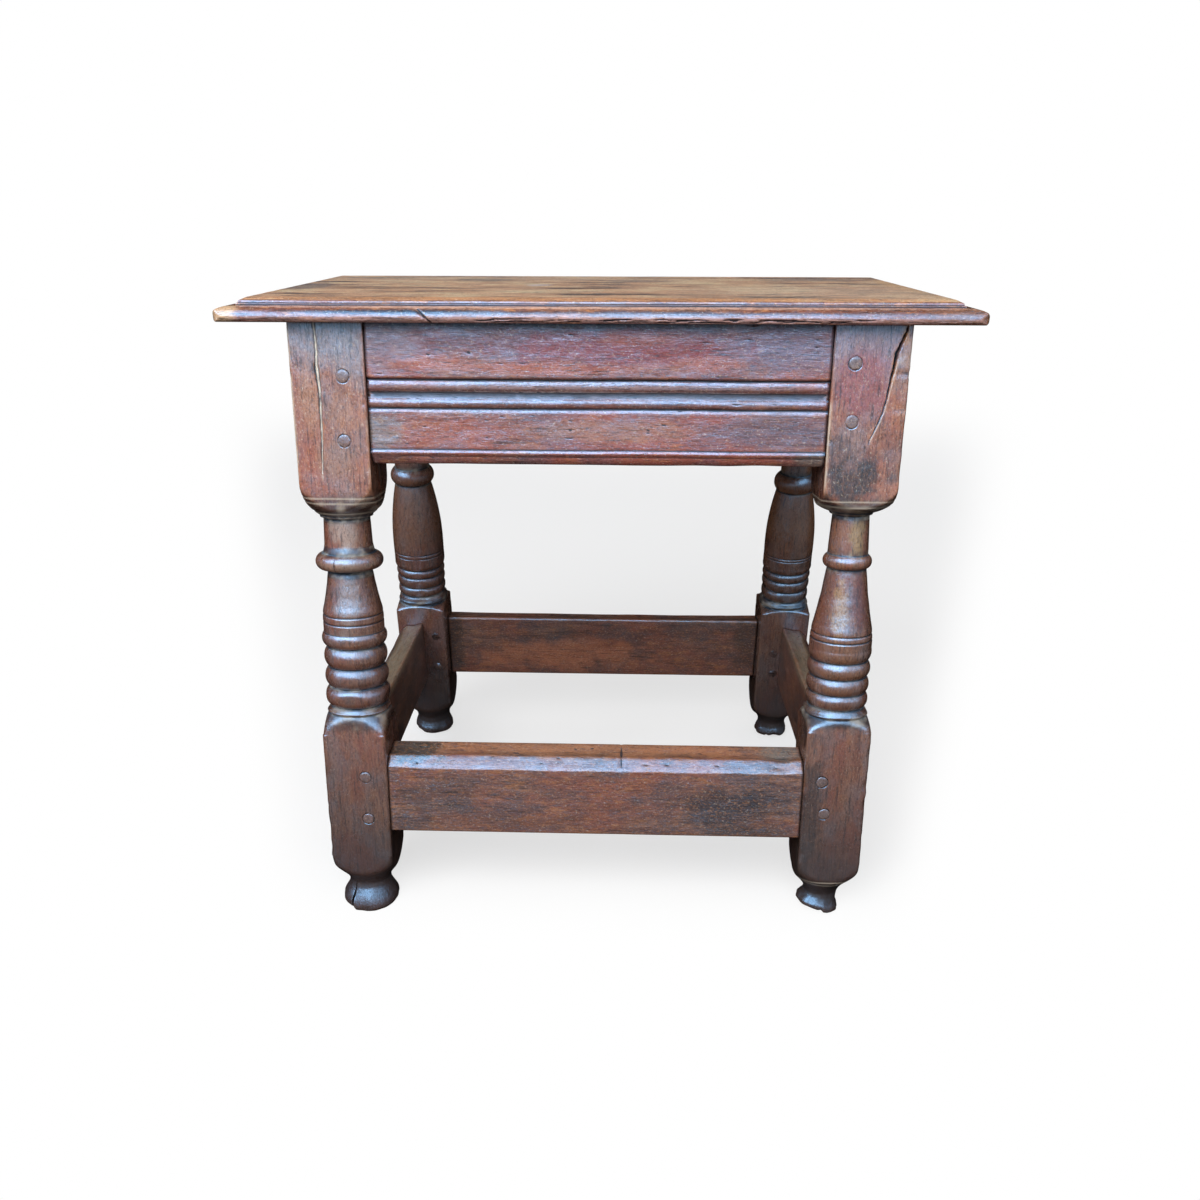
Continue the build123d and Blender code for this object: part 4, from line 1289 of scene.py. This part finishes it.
OLIVE = (0.44, 0.37, 0.27)
STRETCHER_TINTS = {
    "stretcher_left": [(crest("stretcher_left"), (20, 118, 5), OLIVE, 0.9, 0.6)],
    "stretcher_right": [(crest("stretcher_right"), (20, 118, 5), OLIVE, 0.85, 0.6)],
    "stretcher_front": [
        ((0, -134, 127), (132, 12, 5), (0.54, 0.25, 0.13), 0.75, 0.6),
        ((-133, -138, 126), (20, 20, 8), (0.05, 0.05, 0.04), 0.9, 0.7),
        ((134, -134, 127), (14, 12, 6), (0.26, 0.24, 0.21), 0.8),
        ((-110, -152, 98), (30, 12, 18), (0.11, 0.08, 0.08), 0.6),
        ((95, -152, 92), (42, 12, 16), (0.06, 0.045, 0.05), 0.95),
        ((110, -152, 72), (32, 12, 8), (0.05, 0.045, 0.045), 0.8),
        ((-60, -152, 78), (60, 12, 6), (0.20, 0.09, 0.06), 0.5),
    ],
    "stretcher_rear": [
        ((20, 120, 84), (10, 22, 9), (0.05, 0.035, 0.03), 0.8),
        ((-40, 120, 88), (95, 22, 18), (0.64, 0.23, 0.12), 0.8, 0.6),
        ((-142, 120, 100), (9, 22, 40), (0.05, 0.04, 0.035), 0.7, 0.7),
        ((142, 120, 100), (16, 22, 40), (0.05, 0.04, 0.035), 0.7, 0.7),
    ],
}


def make_stretcher(name):
    """One plain stretcher with its tenons and its worn upper edge."""
    settings = bpy.context.scene.stool_stretchers
    where = name.split("_")[1]
    seed = 110 + 9 * WHERE.index(where)
    half_low = lower_half("leg_front_left", leg_axes("leg_front_left"))
    axes, _, end_at = member_frame(where, half_low + 0.1 * MM)
    reach = float(end_at(0.3))
    front, back, top, bottom = shoulder_section(name, axes, end_at, 0.12 * MM)
    face = front[:, 0].max()
    corners = np.concatenate((((front[0, 0], top),), front[front[:, 0] > face - 0.05 * MM],
                              ((back, bottom), (back, top))))
    outline = drawn_round(corners, [settings.outline] * (len(corners) - 2) + [2 * MM, 1.5 * MM])
    outline = softened(outline, 1)

    def change(place):
        along, out, drop = place[..., 0] * reach, place[..., 1], place[..., 2]
        spot = np.stack((along, 0 * along, 0 * along + seed), -1)
        worn = settings.wear * (0.5 + 0.5 * lumps(spot, 60, seed, 3))
        ends = ease((reach - np.abs(along)) / (40 * MM))
        toward = ((out - (face - 5 * MM)) * 0.7 - (drop - (top + 5 * MM)) * 0.7)
        cut = np.maximum(toward - (2.1 * MM - worn * ends), 0)
        place[..., 1] -= cut * 0.6
        place[..., 2] += cut * 0.6
        raised = ease((face - 12 * MM - out) / (14 * MM)) * ease((top + 6 * MM - drop) / (5 * MM))
        place[..., 2] -= settings.crown * raised
        surface_place = np.stack((along, drop, out), -1)
        dips = lumps(surface_place, (30, 14, 14), seed + 2, 3)
        place[..., 1] -= 0.3 * MM * ease(dips) * np.sign(out - (face + back) / 2)
        nicks = ease((lumps(surface_place, (6, 3, 3), seed + 3, 2) - 0.5) / 0.3)
        near_edge = hump(drop, top + 2 * MM, 5 * MM)
        place[..., 2] += 0.7 * MM * nicks * near_edge
        if where == "front":
            place[..., 2] += 0.9 * MM * hump(along, 19 * MM, 1.0 * MM) * near_edge
            hollow = ease((along - 118 * MM) / (18 * MM)) * ease((146 * MM - along) / (10 * MM))
            place[..., 2] += 1.6 * MM * hollow * near_edge * ease((out - face + 16 * MM) / (6 * MM))
        return place

    stations = np.linspace(-1, 1, int(2 * reach / settings.grid)) * (1 - settings.joint / reach)
    rings = closed_rings(member_rings(axes, outline, stations, end_at, change))
    make_member(name, axes, rings, end_at, (0.9 * seed, 0.4, 0.3), seed,
                tinted(rings, STRETCHER_TINTS.get(name, ())), 0.52)


class STOOL_OT_rails(bpy.types.Operator):
    """Moulded rails under the board"""
    bl_idname = "stool.rails"
    bl_label = "Rails"

    def execute(self, context):
        for where in WHERE:
            make_rail(f"rail_{where}")
        return {"FINISHED"}


class STOOL_OT_stretchers(bpy.types.Operator):
    """Plain stretchers near the floor, worn by feet"""
    bl_idname = "stool.stretchers"
    bl_label = "Stretchers"

    def execute(self, context):
        for where in WHERE:
            make_stretcher(f"stretcher_{where}")
        return {"FINISHED"}


# ---- Pegs ------------------------------------------------------------------
def add_peg(surface, peg, seed, settings):
    """Adds one riven peg: a faceted, slightly tapered shaft with a rubbed, domed head."""
    head, inwards, depth, radius = peg
    across = np.cross(inwards, UP if abs(inwards[2]) < 0.9 else (1.0, 0, 0))
    across /= np.linalg.norm(across)
    other = np.cross(inwards, across)
    angles = np.linspace(0, 2 * math.pi, 40, endpoint=False)
    pick = np.random.default_rng(seed)
    facets = np.sort(pick.uniform(0, 2 * math.pi, 8)) * 0.4 + np.arange(8) * math.pi / 4 * 0.6
    apothem = radius * (0.93 + 0.07 * settings.raggedness * pick.uniform(-1, 1, 8))
    reach = np.full(len(angles), radius * 1.02)
    for facing, distance in zip(facets, apothem):
        facing_share = np.cos(angles - facing)
        limit = np.where(facing_share > 0.3, distance / np.maximum(facing_share, 0.3), 1.0)
        reach = soft_least(reach, limit, 0.12 * MM)
    reach = np.minimum(reach, radius)
    tilt = settings.dome * pick.uniform(-0.5, 0.5, 2)
    shares = np.array((0.3, 0.6, 0.82, 0.92, 0.97, 1.0, 1.0, 0.99, 0.97))
    sinks = np.array((0.0, 0.1, 0.3, 0.6, 1.0, 3.0, 10.0, 0.0, 0.0)) * settings.dome
    sinks[-2:] = depth - 1 * MM, depth
    sinks[:-2] += settings.sunk
    rings = []
    for part, sink in zip(shares, sinks):
        flat = np.stack((np.cos(angles), np.sin(angles)), -1) * (reach * part)[:, None]
        lean = (flat @ tilt) / radius * ease((3 * MM - sink) / (3 * MM))
        rings.append(head + np.outer(flat[:, 0], across) + np.outer(flat[:, 1], other)
                     + np.outer(sink + np.abs(lean), inwards))
    rings = np.array(rings)
    axes = Axes(head, across, other, inwards)
    # pegs take half the painted shade
    surface.tube(rings, grain_along(axes, (2, 0, 1), (0.13 * seed, 0, 0)),
                 tint=(0.21, 0.165, 0.165), tinted=0.7, gloom=gloom(rings) * 0.5)


class STOOL_OT_pegs(bpy.types.Operator):
    """Riven pegs of every joint and of the board"""
    bl_idname = "stool.pegs"
    bl_label = "Pegs"

    def execute(self, context):
        settings = context.scene.stool_pegs
        for number, node in enumerate(["top_pegs", *PEG_NODES]):
            surface = Surface(piece_name(node))
            for count, peg in enumerate(pegs_of(node)):
                add_peg(surface, peg, 300 + 10 * number + count, settings)
            surface.make("root", "peg_oak", oak_for("peg"), [node])
        return {"FINISHED"}


# ---- Board -----------------------------------------------------------------
def board_lines(half, offsets, spacing):
    """Grid lines across the board: the moulding's at each end, and even ones between."""
    field = half - offsets[-1]
    count = int(round(2 * field / spacing))
    middle = np.linspace(-field, field, count + 1)
    return np.concatenate((-half + offsets[:-1], middle, (half - offsets[:-1])[::-1]))


def board_profile():
    """The board's edge from the frame: offsets inwards with the heights over and under them."""
    points = node_points("top_board")
    low, high = points.min(0), points.max(0)
    inwards = np.minimum(high[0] - np.abs(points[:, 0]), high[1] - np.abs(points[:, 1]))
    pairs = np.unique(np.round(np.stack((inwards, points[:, 2]), -1) / (0.01 * MM)), axis=0)
    pairs = pairs * 0.01 * MM
    pairs = pairs[pairs[:, 0] < 20 * MM]
    widest = pairs[pairs[:, 0] < 0.02 * MM, 1].mean()
    upper = pairs[pairs[:, 1] >= widest - 0.02 * MM]
    under = pairs[pairs[:, 1] <= widest + 0.02 * MM]
    return low, high, upper, under


def single_line(pairs, highest):
    """Sorted, one height for each offset: the highest or the lowest there."""
    order = np.lexsort((pairs[:, 1] * (1 if highest else -1), pairs[:, 0]))
    pairs = pairs[order]
    keep = np.append(np.diff(pairs[:, 0]) > 0.02 * MM, True)
    return pairs[keep]


NICK = (-107.7, 429.5)                  # middle of the split in the nose: x and height, in mm
STEP = ((13.0, 4.50), (13.1, 4.00), (13.3, 3.60), (13.7, 3.40), (14.0, 3.45), (14.1, 3.70),
        (14.3, 3.60), (14.4, 2.60), (14.5, 2.20), (14.8, 1.90), (15.3, 1.70), (16.4, 1.20),
        (18.0, 0.40), (19.5, 0.00))     # inwards and down from the field, in mm
BOARD_TINTS = [
    ((0, -119, 438), (235, 4, 6), (0.43, 0.20, 0.09), 0.85),
    ((216, -10, 438), (8, 100, 6), (0.50, 0.27, 0.12), 0.7),
    ((-222, -60, 437), (6, 60, 6), (0.42, 0.20, 0.09), 0.7),
    # painted light on the down-facing lower part of the rounded edge
    ((0, -137, 426.2), (260, 4, 2.5), (0.56, 0.36, 0.36), 0.8),
    ((0, -137, 431.5), (260, 3, 2.5), (0.06, 0.05, 0.065), 0.92),
    ((-130, -136.5, 431.5), (80, 3.5, 2.6), (0.02, 0.035, 0.06), 0.95),
    # a painted sheen on the top of the rounded edge
    ((0, -129.5, 434), (260, 3.2, 4), (0.86, 0.54, 0.42), 0.85),
    ((150, -60, 438), (90, 60, 6), (0.56, 0.40, 0.27), 0.35, 0.8),
    ((-100, 90, 438), (130, 40, 6), (0.48, 0.36, 0.25), 0.3, 0.8),
    ((-212, -18, 438), (20, 40, 6), (0.08, 0.05, 0.04), 0.75),
    ((29, 56, 438), (30, 16, 6), (0.10, 0.07, 0.06), 0.6),
    ((168, 78, 438), (44, 18, 6), (0.10, 0.07, 0.06), 0.6),
    ((-46, 3, 438), (9, 12, 6), (0.50, 0.46, 0.44), 0.5),
    ((-233, -133, 430), (11, 9, 9), (0.80, 0.58, 0.38), 0.8),
]
ROUNDING = 1.12                         # how soon a worn corner turns round
MOULDED_RINGS = 34                      # rings of the board's grid that are cut into triangles
FIELD = (0.24, 0.1375)                  # half the board's length and depth, in metres


class STOOL_OT_top_board(bpy.types.Operator):
    """Moulded top board with raised grain, worn corners and a splintered edge"""
    bl_idname = "stool.top_board"
    bl_label = "Top board"

    def execute(self, context):
        settings = context.scene.stool_board
        low, high, upper, under = board_profile()
        upper, under = single_line(upper, True), single_line(under, False)
        near = np.array((0, 0.05, 0.15, 0.35, 0.65, 1.05, 1.55, 2.1, 2.7)) * MM
        step = np.array(STEP).T * MM
        offsets = np.concatenate((near, evenly(3.4 * MM, 12.6 * MM, 0.9 * MM),
                                  evenly(12.6 * MM, 15.6 * MM, 0.2 * MM),
                                  evenly(15.6 * MM, step[0, -1] + 1 * MM, 0.7 * MM)))
        over = np.interp(offsets, upper[:, 0], upper[:, 1])
        stepped = offsets >= settings.nose
        over[stepped] = high[2] - np.interp(offsets[stepped], *step)
        below = np.interp(offsets, under[:, 0], under[:, 1])
        self.round_nose(offsets, over, below, low[2], settings)
        x = board_lines(high[0], offsets, settings.grid)
        x = np.union1d(x, evenly(NICK[0] * MM - 7 * MM, NICK[0] * MM + 7 * MM, 0.5 * MM))
        y = board_lines(high[1], offsets, settings.grid)
        ring_x = np.searchsorted(offsets, high[0] - np.abs(x) + 1e-9, side="right") - 1
        ring_y = np.minimum(np.arange(len(y)), np.arange(len(y))[::-1])
        ring = np.minimum(np.minimum(ring_x[:, None], ring_y[None, :]), len(offsets) - 1)
        sheets = []
        for heights, sign in ((over, 1), (below, -1)):
            flat = np.stack((*np.meshgrid(x, y, indexing="ij"), heights[ring]), -1)
            sheets.append(self.worn(flat, ring, offsets, high, low, settings, sign))
        surface = Surface(piece_name("top_board"))
        self.join(surface, sheets, ring)
        surface.make("root", "top_oak", oak_for("top"), ["top_board"])
        return {"FINISHED"}

    def round_nose(self, offsets, over, below, underside, settings):
        """Rounds the edge over from its widest line near the underside up to the step."""
        widest = underside + settings.nose_height
        top = np.interp(settings.nose, offsets, over)
        nose = offsets <= settings.nose
        bulge = np.sqrt(1 - (1 - offsets[nose] / settings.nose) ** 2.3)
        over[nose] = widest + (top - widest) * bulge
        turn = np.minimum(offsets / (1.25 * settings.nose_height), 1)
        below[:] = widest - settings.nose_height * np.sqrt(1 - (1 - turn) ** 2)

    def worn(self, flat, ring, offsets, high, low, settings, sign):
        """The grid of one side of the board after wear."""
        place = flat.copy()
        inwards = offsets[ring]
        x, y, z = flat[..., 0], flat[..., 1], flat[..., 2]
        # the edge wanders inwards
        near_edge = ease((14 * MM - inwards) / (14 * MM))
        along_x = np.stack((x, 0 * x + 5.0 * np.sign(y), 0 * x), -1)
        along_y = np.stack((0 * x, y, 0 * x + 5.0 * np.sign(x)), -1)
        place[..., 1] -= (np.sign(y) * near_edge * settings.edge_wear
                          * ease(0.5 + lumps(along_x, 40, 3, 3)))
        place[..., 0] -= (np.sign(x) * near_edge * 0.3 * settings.edge_wear
                          * ease(0.5 + lumps(along_y, 40, 4, 3)))
        # raised grain and tool marks
        grain_place = np.stack((x, y, z), -1)
        relief = lumps(grain_place, (70, 3.0, 9), 5, 2)
        scour = lumps(grain_place, (40, 12, 30), 6, 3)
        worn_down = settings.relief * (ease(relief) + 1.2 * ease(scour))
        place[..., 2] -= worn_down * (sign > 0)
        # splinters along the lower front edge
        splinter_place = np.stack((x, z * 4, y), -1)
        torn = ease((lumps(splinter_place, (11, 3, 40), 7, 3) + 0.05) / 0.25)
        where = 0.25 + 0.75 * ease((x + 90 * MM) / (30 * MM)) * ease((190 * MM - x) / (40 * MM))
        low_edge = ease((427.6 * MM - z) / (1.6 * MM)) * ease((3.0 * MM - inwards) / (2 * MM)) * (y < 0)
        place[..., 1] += settings.splinter * torn * where * low_edge
        place[..., 2] += 0.5 * settings.splinter * torn * where * low_edge
        # a slanting nick in the nose
        slant = (x - NICK[0] * MM) + (z - NICK[1] * MM) * 1.05
        split = np.where(slant < 0, ease(1 + slant / (3.4 * MM)), ease(1 - slant / (0.7 * MM)))
        nick = split * ease((6 * MM - inwards) / (3 * MM)) * (y < 0)
        place[..., 1] += 1.7 * MM * nick
        # rounded corners
        corner = settings.corner
        outer_x, outer_y = high[0] - np.abs(place[..., 0]), high[1] - np.abs(place[..., 1])
        in_x, in_y = corner - outer_x, corner - outer_y
        both = (in_x > 0) & (in_y > 0)
        away = np.hypot(in_x, in_y)
        limit = corner * np.tanh(ROUNDING * away / corner) / np.tanh(ROUNDING)
        limit = np.minimum(limit, corner)
        keep = np.where(both & (away > 0), np.minimum(1.0, limit / np.maximum(away, 1e-9)), 1.0)
        place[..., 0] = np.where(both, np.sign(x) * (high[0] - corner + in_x * keep), place[..., 0])
        place[..., 1] = np.where(both, np.sign(y) * (high[1] - corner + in_y * keep), place[..., 1])
        for axis in (0, 1):
            place[..., axis] = np.clip(place[..., axis], -high[axis], high[axis])
        place[..., 2] = np.clip(place[..., 2], low[2], high[2])
        return place

    def dry(self, points):
        """Where the board is worn to bare, dry wood: its field, and not its moulded edge."""
        inwards = np.min(FIELD - np.abs(points[:, :2]), axis=1)
        return ease((inwards - 15.2 * MM) / (1.0 * MM)) * (points[:, 2] > 0.43)

    def join(self, surface, sheets, ring):
        """Joins the upper and lower sheets at their shared outline."""
        rows, columns = ring.shape
        upper, lower = sheets
        number = np.arange(rows * columns).reshape(rows, columns)
        inner = ring > 0
        lower_number = number.copy()
        lower_number[inner] = rows * columns + np.arange(inner.sum())
        i, j = np.meshgrid(np.arange(rows - 1), np.arange(columns - 1), indexing="ij")
        faces = []
        half_x, half_y = rows // 2, columns // 2
        flip = ((i < half_x) ^ (j < half_y)).ravel()
        for numbers, turned in ((number, False), (lower_number, True)):
            a, b = numbers[i, j].ravel(), numbers[i + 1, j].ravel()
            c, d = numbers[i + 1, j + 1].ravel(), numbers[i, j + 1].ravel()
            at_edge = np.minimum(ring[i, j], ring[i + 1, j + 1]).ravel() < MOULDED_RINGS
            quads = np.stack((a, b, c, d), -1)
            split = np.where(flip[:, None], np.stack((a, b, d, b, c, d), -1),
                             np.stack((a, b, c, a, c, d), -1))
            made = quads[~at_edge].tolist() + split[at_edge].reshape(-1, 3).tolist()
            faces += [face[::-1] for face in made] if turned else made
        values = {"fine": [], "broad": []}
        for sheet, sign in ((upper, 1), (lower, -1)):
            along, around = np.gradient(sheet, axis=0), np.gradient(sheet, axis=1)
            normal = np.cross(along, around) * sign
            normal /= np.maximum(np.linalg.norm(normal, axis=-1, keepdims=True), 1e-12)
            values["fine"].append(convexity(sheet, normal, 0.8 * MM, closed=False))
            values["broad"].append(convexity(sheet, normal, 3.0 * MM, closed=False))
        points = np.concatenate((upper.reshape(-1, 3), lower[inner]))
        flat = {key: np.concatenate((up.ravel(), down[inner])) for key, (up, down) in values.items()}
        tint, amount = tinted(points, BOARD_TINTS)
        plain = np.zeros(len(points))
        surface.add(points, faces, grain=points + np.array((2.1, 0.3, 0.7)), tint=tint,
                    tinted=amount, gloom=plain, dark=plain, light=plain, dry=self.dry(points),
                    rim=peg_rings(points, pegs_of("top_pegs")), **flat)


# ---- Stage -----------------------------------------------------------------
CAMERA_PLACE = (15.85 * MM, -792.66 * MM, 486.38 * MM)
CAMERA_PITCH, CAMERA_YAW, CAMERA_ROLL = 0.4127, -0.0303, -0.0018
SENSOR = 36.0
FRAME_PIXELS = 1200
FOCAL_PIXELS = 1021.6
CENTRE_PIXEL = (589.70, 660.46)


def camera_axes():
    """The camera's right, up and back directions."""
    cp, sp = math.cos(CAMERA_PITCH), math.sin(CAMERA_PITCH)
    cw, sw = math.cos(CAMERA_YAW), math.sin(CAMERA_YAW)
    forward = Vector((sw * cp, cw * cp, -sp))
    right = Vector((cw, -sw, 0))
    down = forward.cross(right)
    cr, sr = math.cos(CAMERA_ROLL), math.sin(CAMERA_ROLL)
    return cr * right + sr * down, sr * right - cr * down, -forward


def area_lamp(name, place, target, size, power, tone, diffuse=True, glossy=True):
    """A large soft lamp that faces a target."""
    lamp = bpy.data.lights.new(name, "AREA")
    lamp.shape = "RECTANGLE"
    lamp.size, lamp.size_y = size
    lamp.energy = power
    lamp.color = tone
    holder = bpy.data.objects.new(name, lamp)
    holder.location = place
    holder.rotation_mode = "QUATERNION"
    holder.rotation_quaternion = (Vector(target) - Vector(place)).to_track_quat("-Z", "Y")
    holder.visible_camera = False
    holder.visible_diffuse, holder.visible_glossy = diffuse, glossy
    bpy.context.scene.collection.objects.link(holder)


def sky_room(room, shade, sky):
    """Even light that fades below the horizon, and a blue sky for the sheen of the wax."""
    n = Nodes(bpy.data.worlds.new("sky_room"))
    path = n.node("ShaderNodeLightPath").outputs
    x, y, z = n.parts(n.node("ShaderNodeTexCoord").outputs["Generated"])

    def glow(tone, strength):
        background = n.fed("ShaderNodeBackground", {"Strength": strength})
        n.paint(tone, background.inputs["Color"])
        return background.outputs[0]

    in_front = n.ramp(y, 0.25, -0.45)
    lit = glow((1.0, 0.98, 0.97), n.times(n.ramp(z, -0.20, 0.45, shade, room),
                                         n.ramp(in_front, 0.0, 1.0, 0.9, 1.0)))
    from_left = n.times(n.ramp(x, 0.55, -0.10, 0.3, 1.0), n.ramp(x, -1.0, -0.75, 0.3, 1.0))
    open_sky = n.times(from_left, n.ramp(z, 0.16, 0.54, 0.0, sky))
    low_sheen = n.ramp(z, -0.75, -0.25, 0.0, 0.5)
    sky_tone = n.mix(n.ramp(z, -0.25, 0.16), (0.34, 0.49, 0.62), (0.27, 0.58, 1.0))
    sheen = glow(sky_tone, n.times(in_front, n.plus(low_sheen, open_sky)))
    around = n.choose(path["Is Glossy Ray"], lit, sheen)
    seen = n.choose(path["Is Camera Ray"], around, glow((1, 1, 1), 1.0))
    bpy.context.scene.world = n.show(seen, "World")


# the floor's shadow is painted; it opens from this point, where no lamp stands
PAINTED_SHADOW_APEX = 0.79                      # how far in front the floor's shadow opens from, in metres


def floor_material(tone):
    """Pale floor with a painted soft shadow behind the stool, in which its cast shadow also shows;
    white everywhere else.
    """
    n = Nodes(bpy.data.materials.new("pale_floor"))
    place = n.node("ShaderNodeTexCoord").outputs["Object"]
    along, behind, _ = n.parts(place)
    # the painted shadow opens backwards, as a lamp's shadow would from in front of the stool
    slant = n.math("ABSOLUTE", n.math("DIVIDE", along, n.plus(behind, PAINTED_SHADOW_APEX)))
    shadow = n.times(n.ramp(slant, 0.30, 0.41, 1.0, 0.0), n.ramp(behind, -0.20, -0.06))
    away = n.rest(n.times(shadow, n.ramp(behind, 0.8, 2.4, 1.0, 0.0)))
    mottle = n.noise(place, (30, 30, 30), 2)
    body = n.mix(n.times(mottle, 0.04), tone, tuple(0.9 * c for c in tone))
    matte = n.fed("ShaderNodeBsdfPrincipled", {"Base Color": body, "Roughness": 0.85,
                                               "Specular IOR Level": 0.1})
    # the painted shadow greys the floor's glow
    glow = n.fed("ShaderNodeEmission", {"Color": n.mix(away, (0.96, 0.96, 0.96), (1, 1, 1))})
    seen = n.times(n.node("ShaderNodeLightPath").outputs["Is Camera Ray"],
                   n.ramp(away, 0, 1, 0.66, 1.0))
    return n.show(n.choose(seen, matte.outputs[0], glow.outputs[0]))


class STOOL_OT_stage(bpy.types.Operator):
    """Pale floor, soft studio light and the camera"""
    bl_idname = "stool.stage"
    bl_label = "Stage"

    def execute(self, context):
        stage = context.scene.stool_stage
        mesh = bpy.data.meshes.new("floor")
        reach = 6.0
        mesh.from_pydata([(-reach, -reach, 0), (reach, -reach, 0), (reach, reach, 0),
                          (-reach, reach, 0)], [], [(0, 1, 2, 3)])
        floor = bpy.data.objects.new("floor", mesh)
        context.scene.collection.objects.link(floor)
        mesh.materials.append(floor_material(stage.floor[:]))
        floor.visible_diffuse = floor.visible_glossy = False
        sky_room(stage.room, stage.shade, stage.sky)
        area_lamp("key_lamp", (-0.5, -1.6, 1.7), (0, 0, 0.25), (1.8, 1.4), stage.key, (1, 1, 1),
                  glossy=False)
        area_lamp("haze_panel", (0.0, -3.2, 1.25), (0, 0, 0.5), (5.0, 1.6), stage.haze,
                  (0.42, 0.70, 1.0), diffuse=False)
        lens = bpy.data.cameras.new("camera")
        lens.sensor_width = SENSOR
        lens.lens = FOCAL_PIXELS / FRAME_PIXELS * SENSOR
        lens.shift_x = (FRAME_PIXELS / 2 - CENTRE_PIXEL[0]) / FRAME_PIXELS
        lens.shift_y = (CENTRE_PIXEL[1] - FRAME_PIXELS / 2) / FRAME_PIXELS
        camera = bpy.data.objects.new("camera", lens)
        right, up, back = camera_axes()
        camera.matrix_world = Matrix.Translation(CAMERA_PLACE) @ Matrix(
            (right, up, back)).transposed().to_4x4()
        context.scene.collection.objects.link(camera)
        context.scene.camera = camera
        context.scene.view_settings.view_transform = "Standard"
        return {"FINISHED"}


# ---- Sidebar and running order ---------------------------------------------
OPERATORS = (STOOL_OT_stage, STOOL_OT_top_board, STOOL_OT_legs, STOOL_OT_rails,
             STOOL_OT_stretchers, STOOL_OT_pegs)


class STOOL_PT_panel(bpy.types.Panel):
    """Lists the stool's settings and the operators that make its pieces"""
    bl_label = "Joint Stool"
    bl_space_type = "VIEW_3D"
    bl_region_type = "UI"
    bl_category = "Joint Stool"

    def draw(self, context):
        for key, group in SETTINGS.items():
            box = self.layout.box()
            box.label(text=group.__doc__)
            for name in group.__annotations__:
                box.prop(getattr(context.scene, key), name)
        for operator in OPERATORS:
            self.layout.operator(operator.bl_idname)


CLASSES = (*SETTINGS.values(), *OPERATORS, STOOL_PT_panel)


def register():
    for cls in CLASSES:
        bpy.utils.register_class(cls)
    for key, group in SETTINGS.items():
        setattr(bpy.types.Scene, key, bpy.props.PointerProperty(type=group))


def unregister():
    for key in SETTINGS:
        delattr(bpy.types.Scene, key)
    for cls in reversed(CLASSES):
        bpy.utils.unregister_class(cls)


def main():
    register()
    bpy.ops.stool.stage()
    bpy.ops.stool.top_board()
    bpy.ops.stool.legs()
    bpy.ops.stool.rails()
    bpy.ops.stool.stretchers()
    bpy.ops.stool.pegs()


if __name__ == "__main__":
    main()
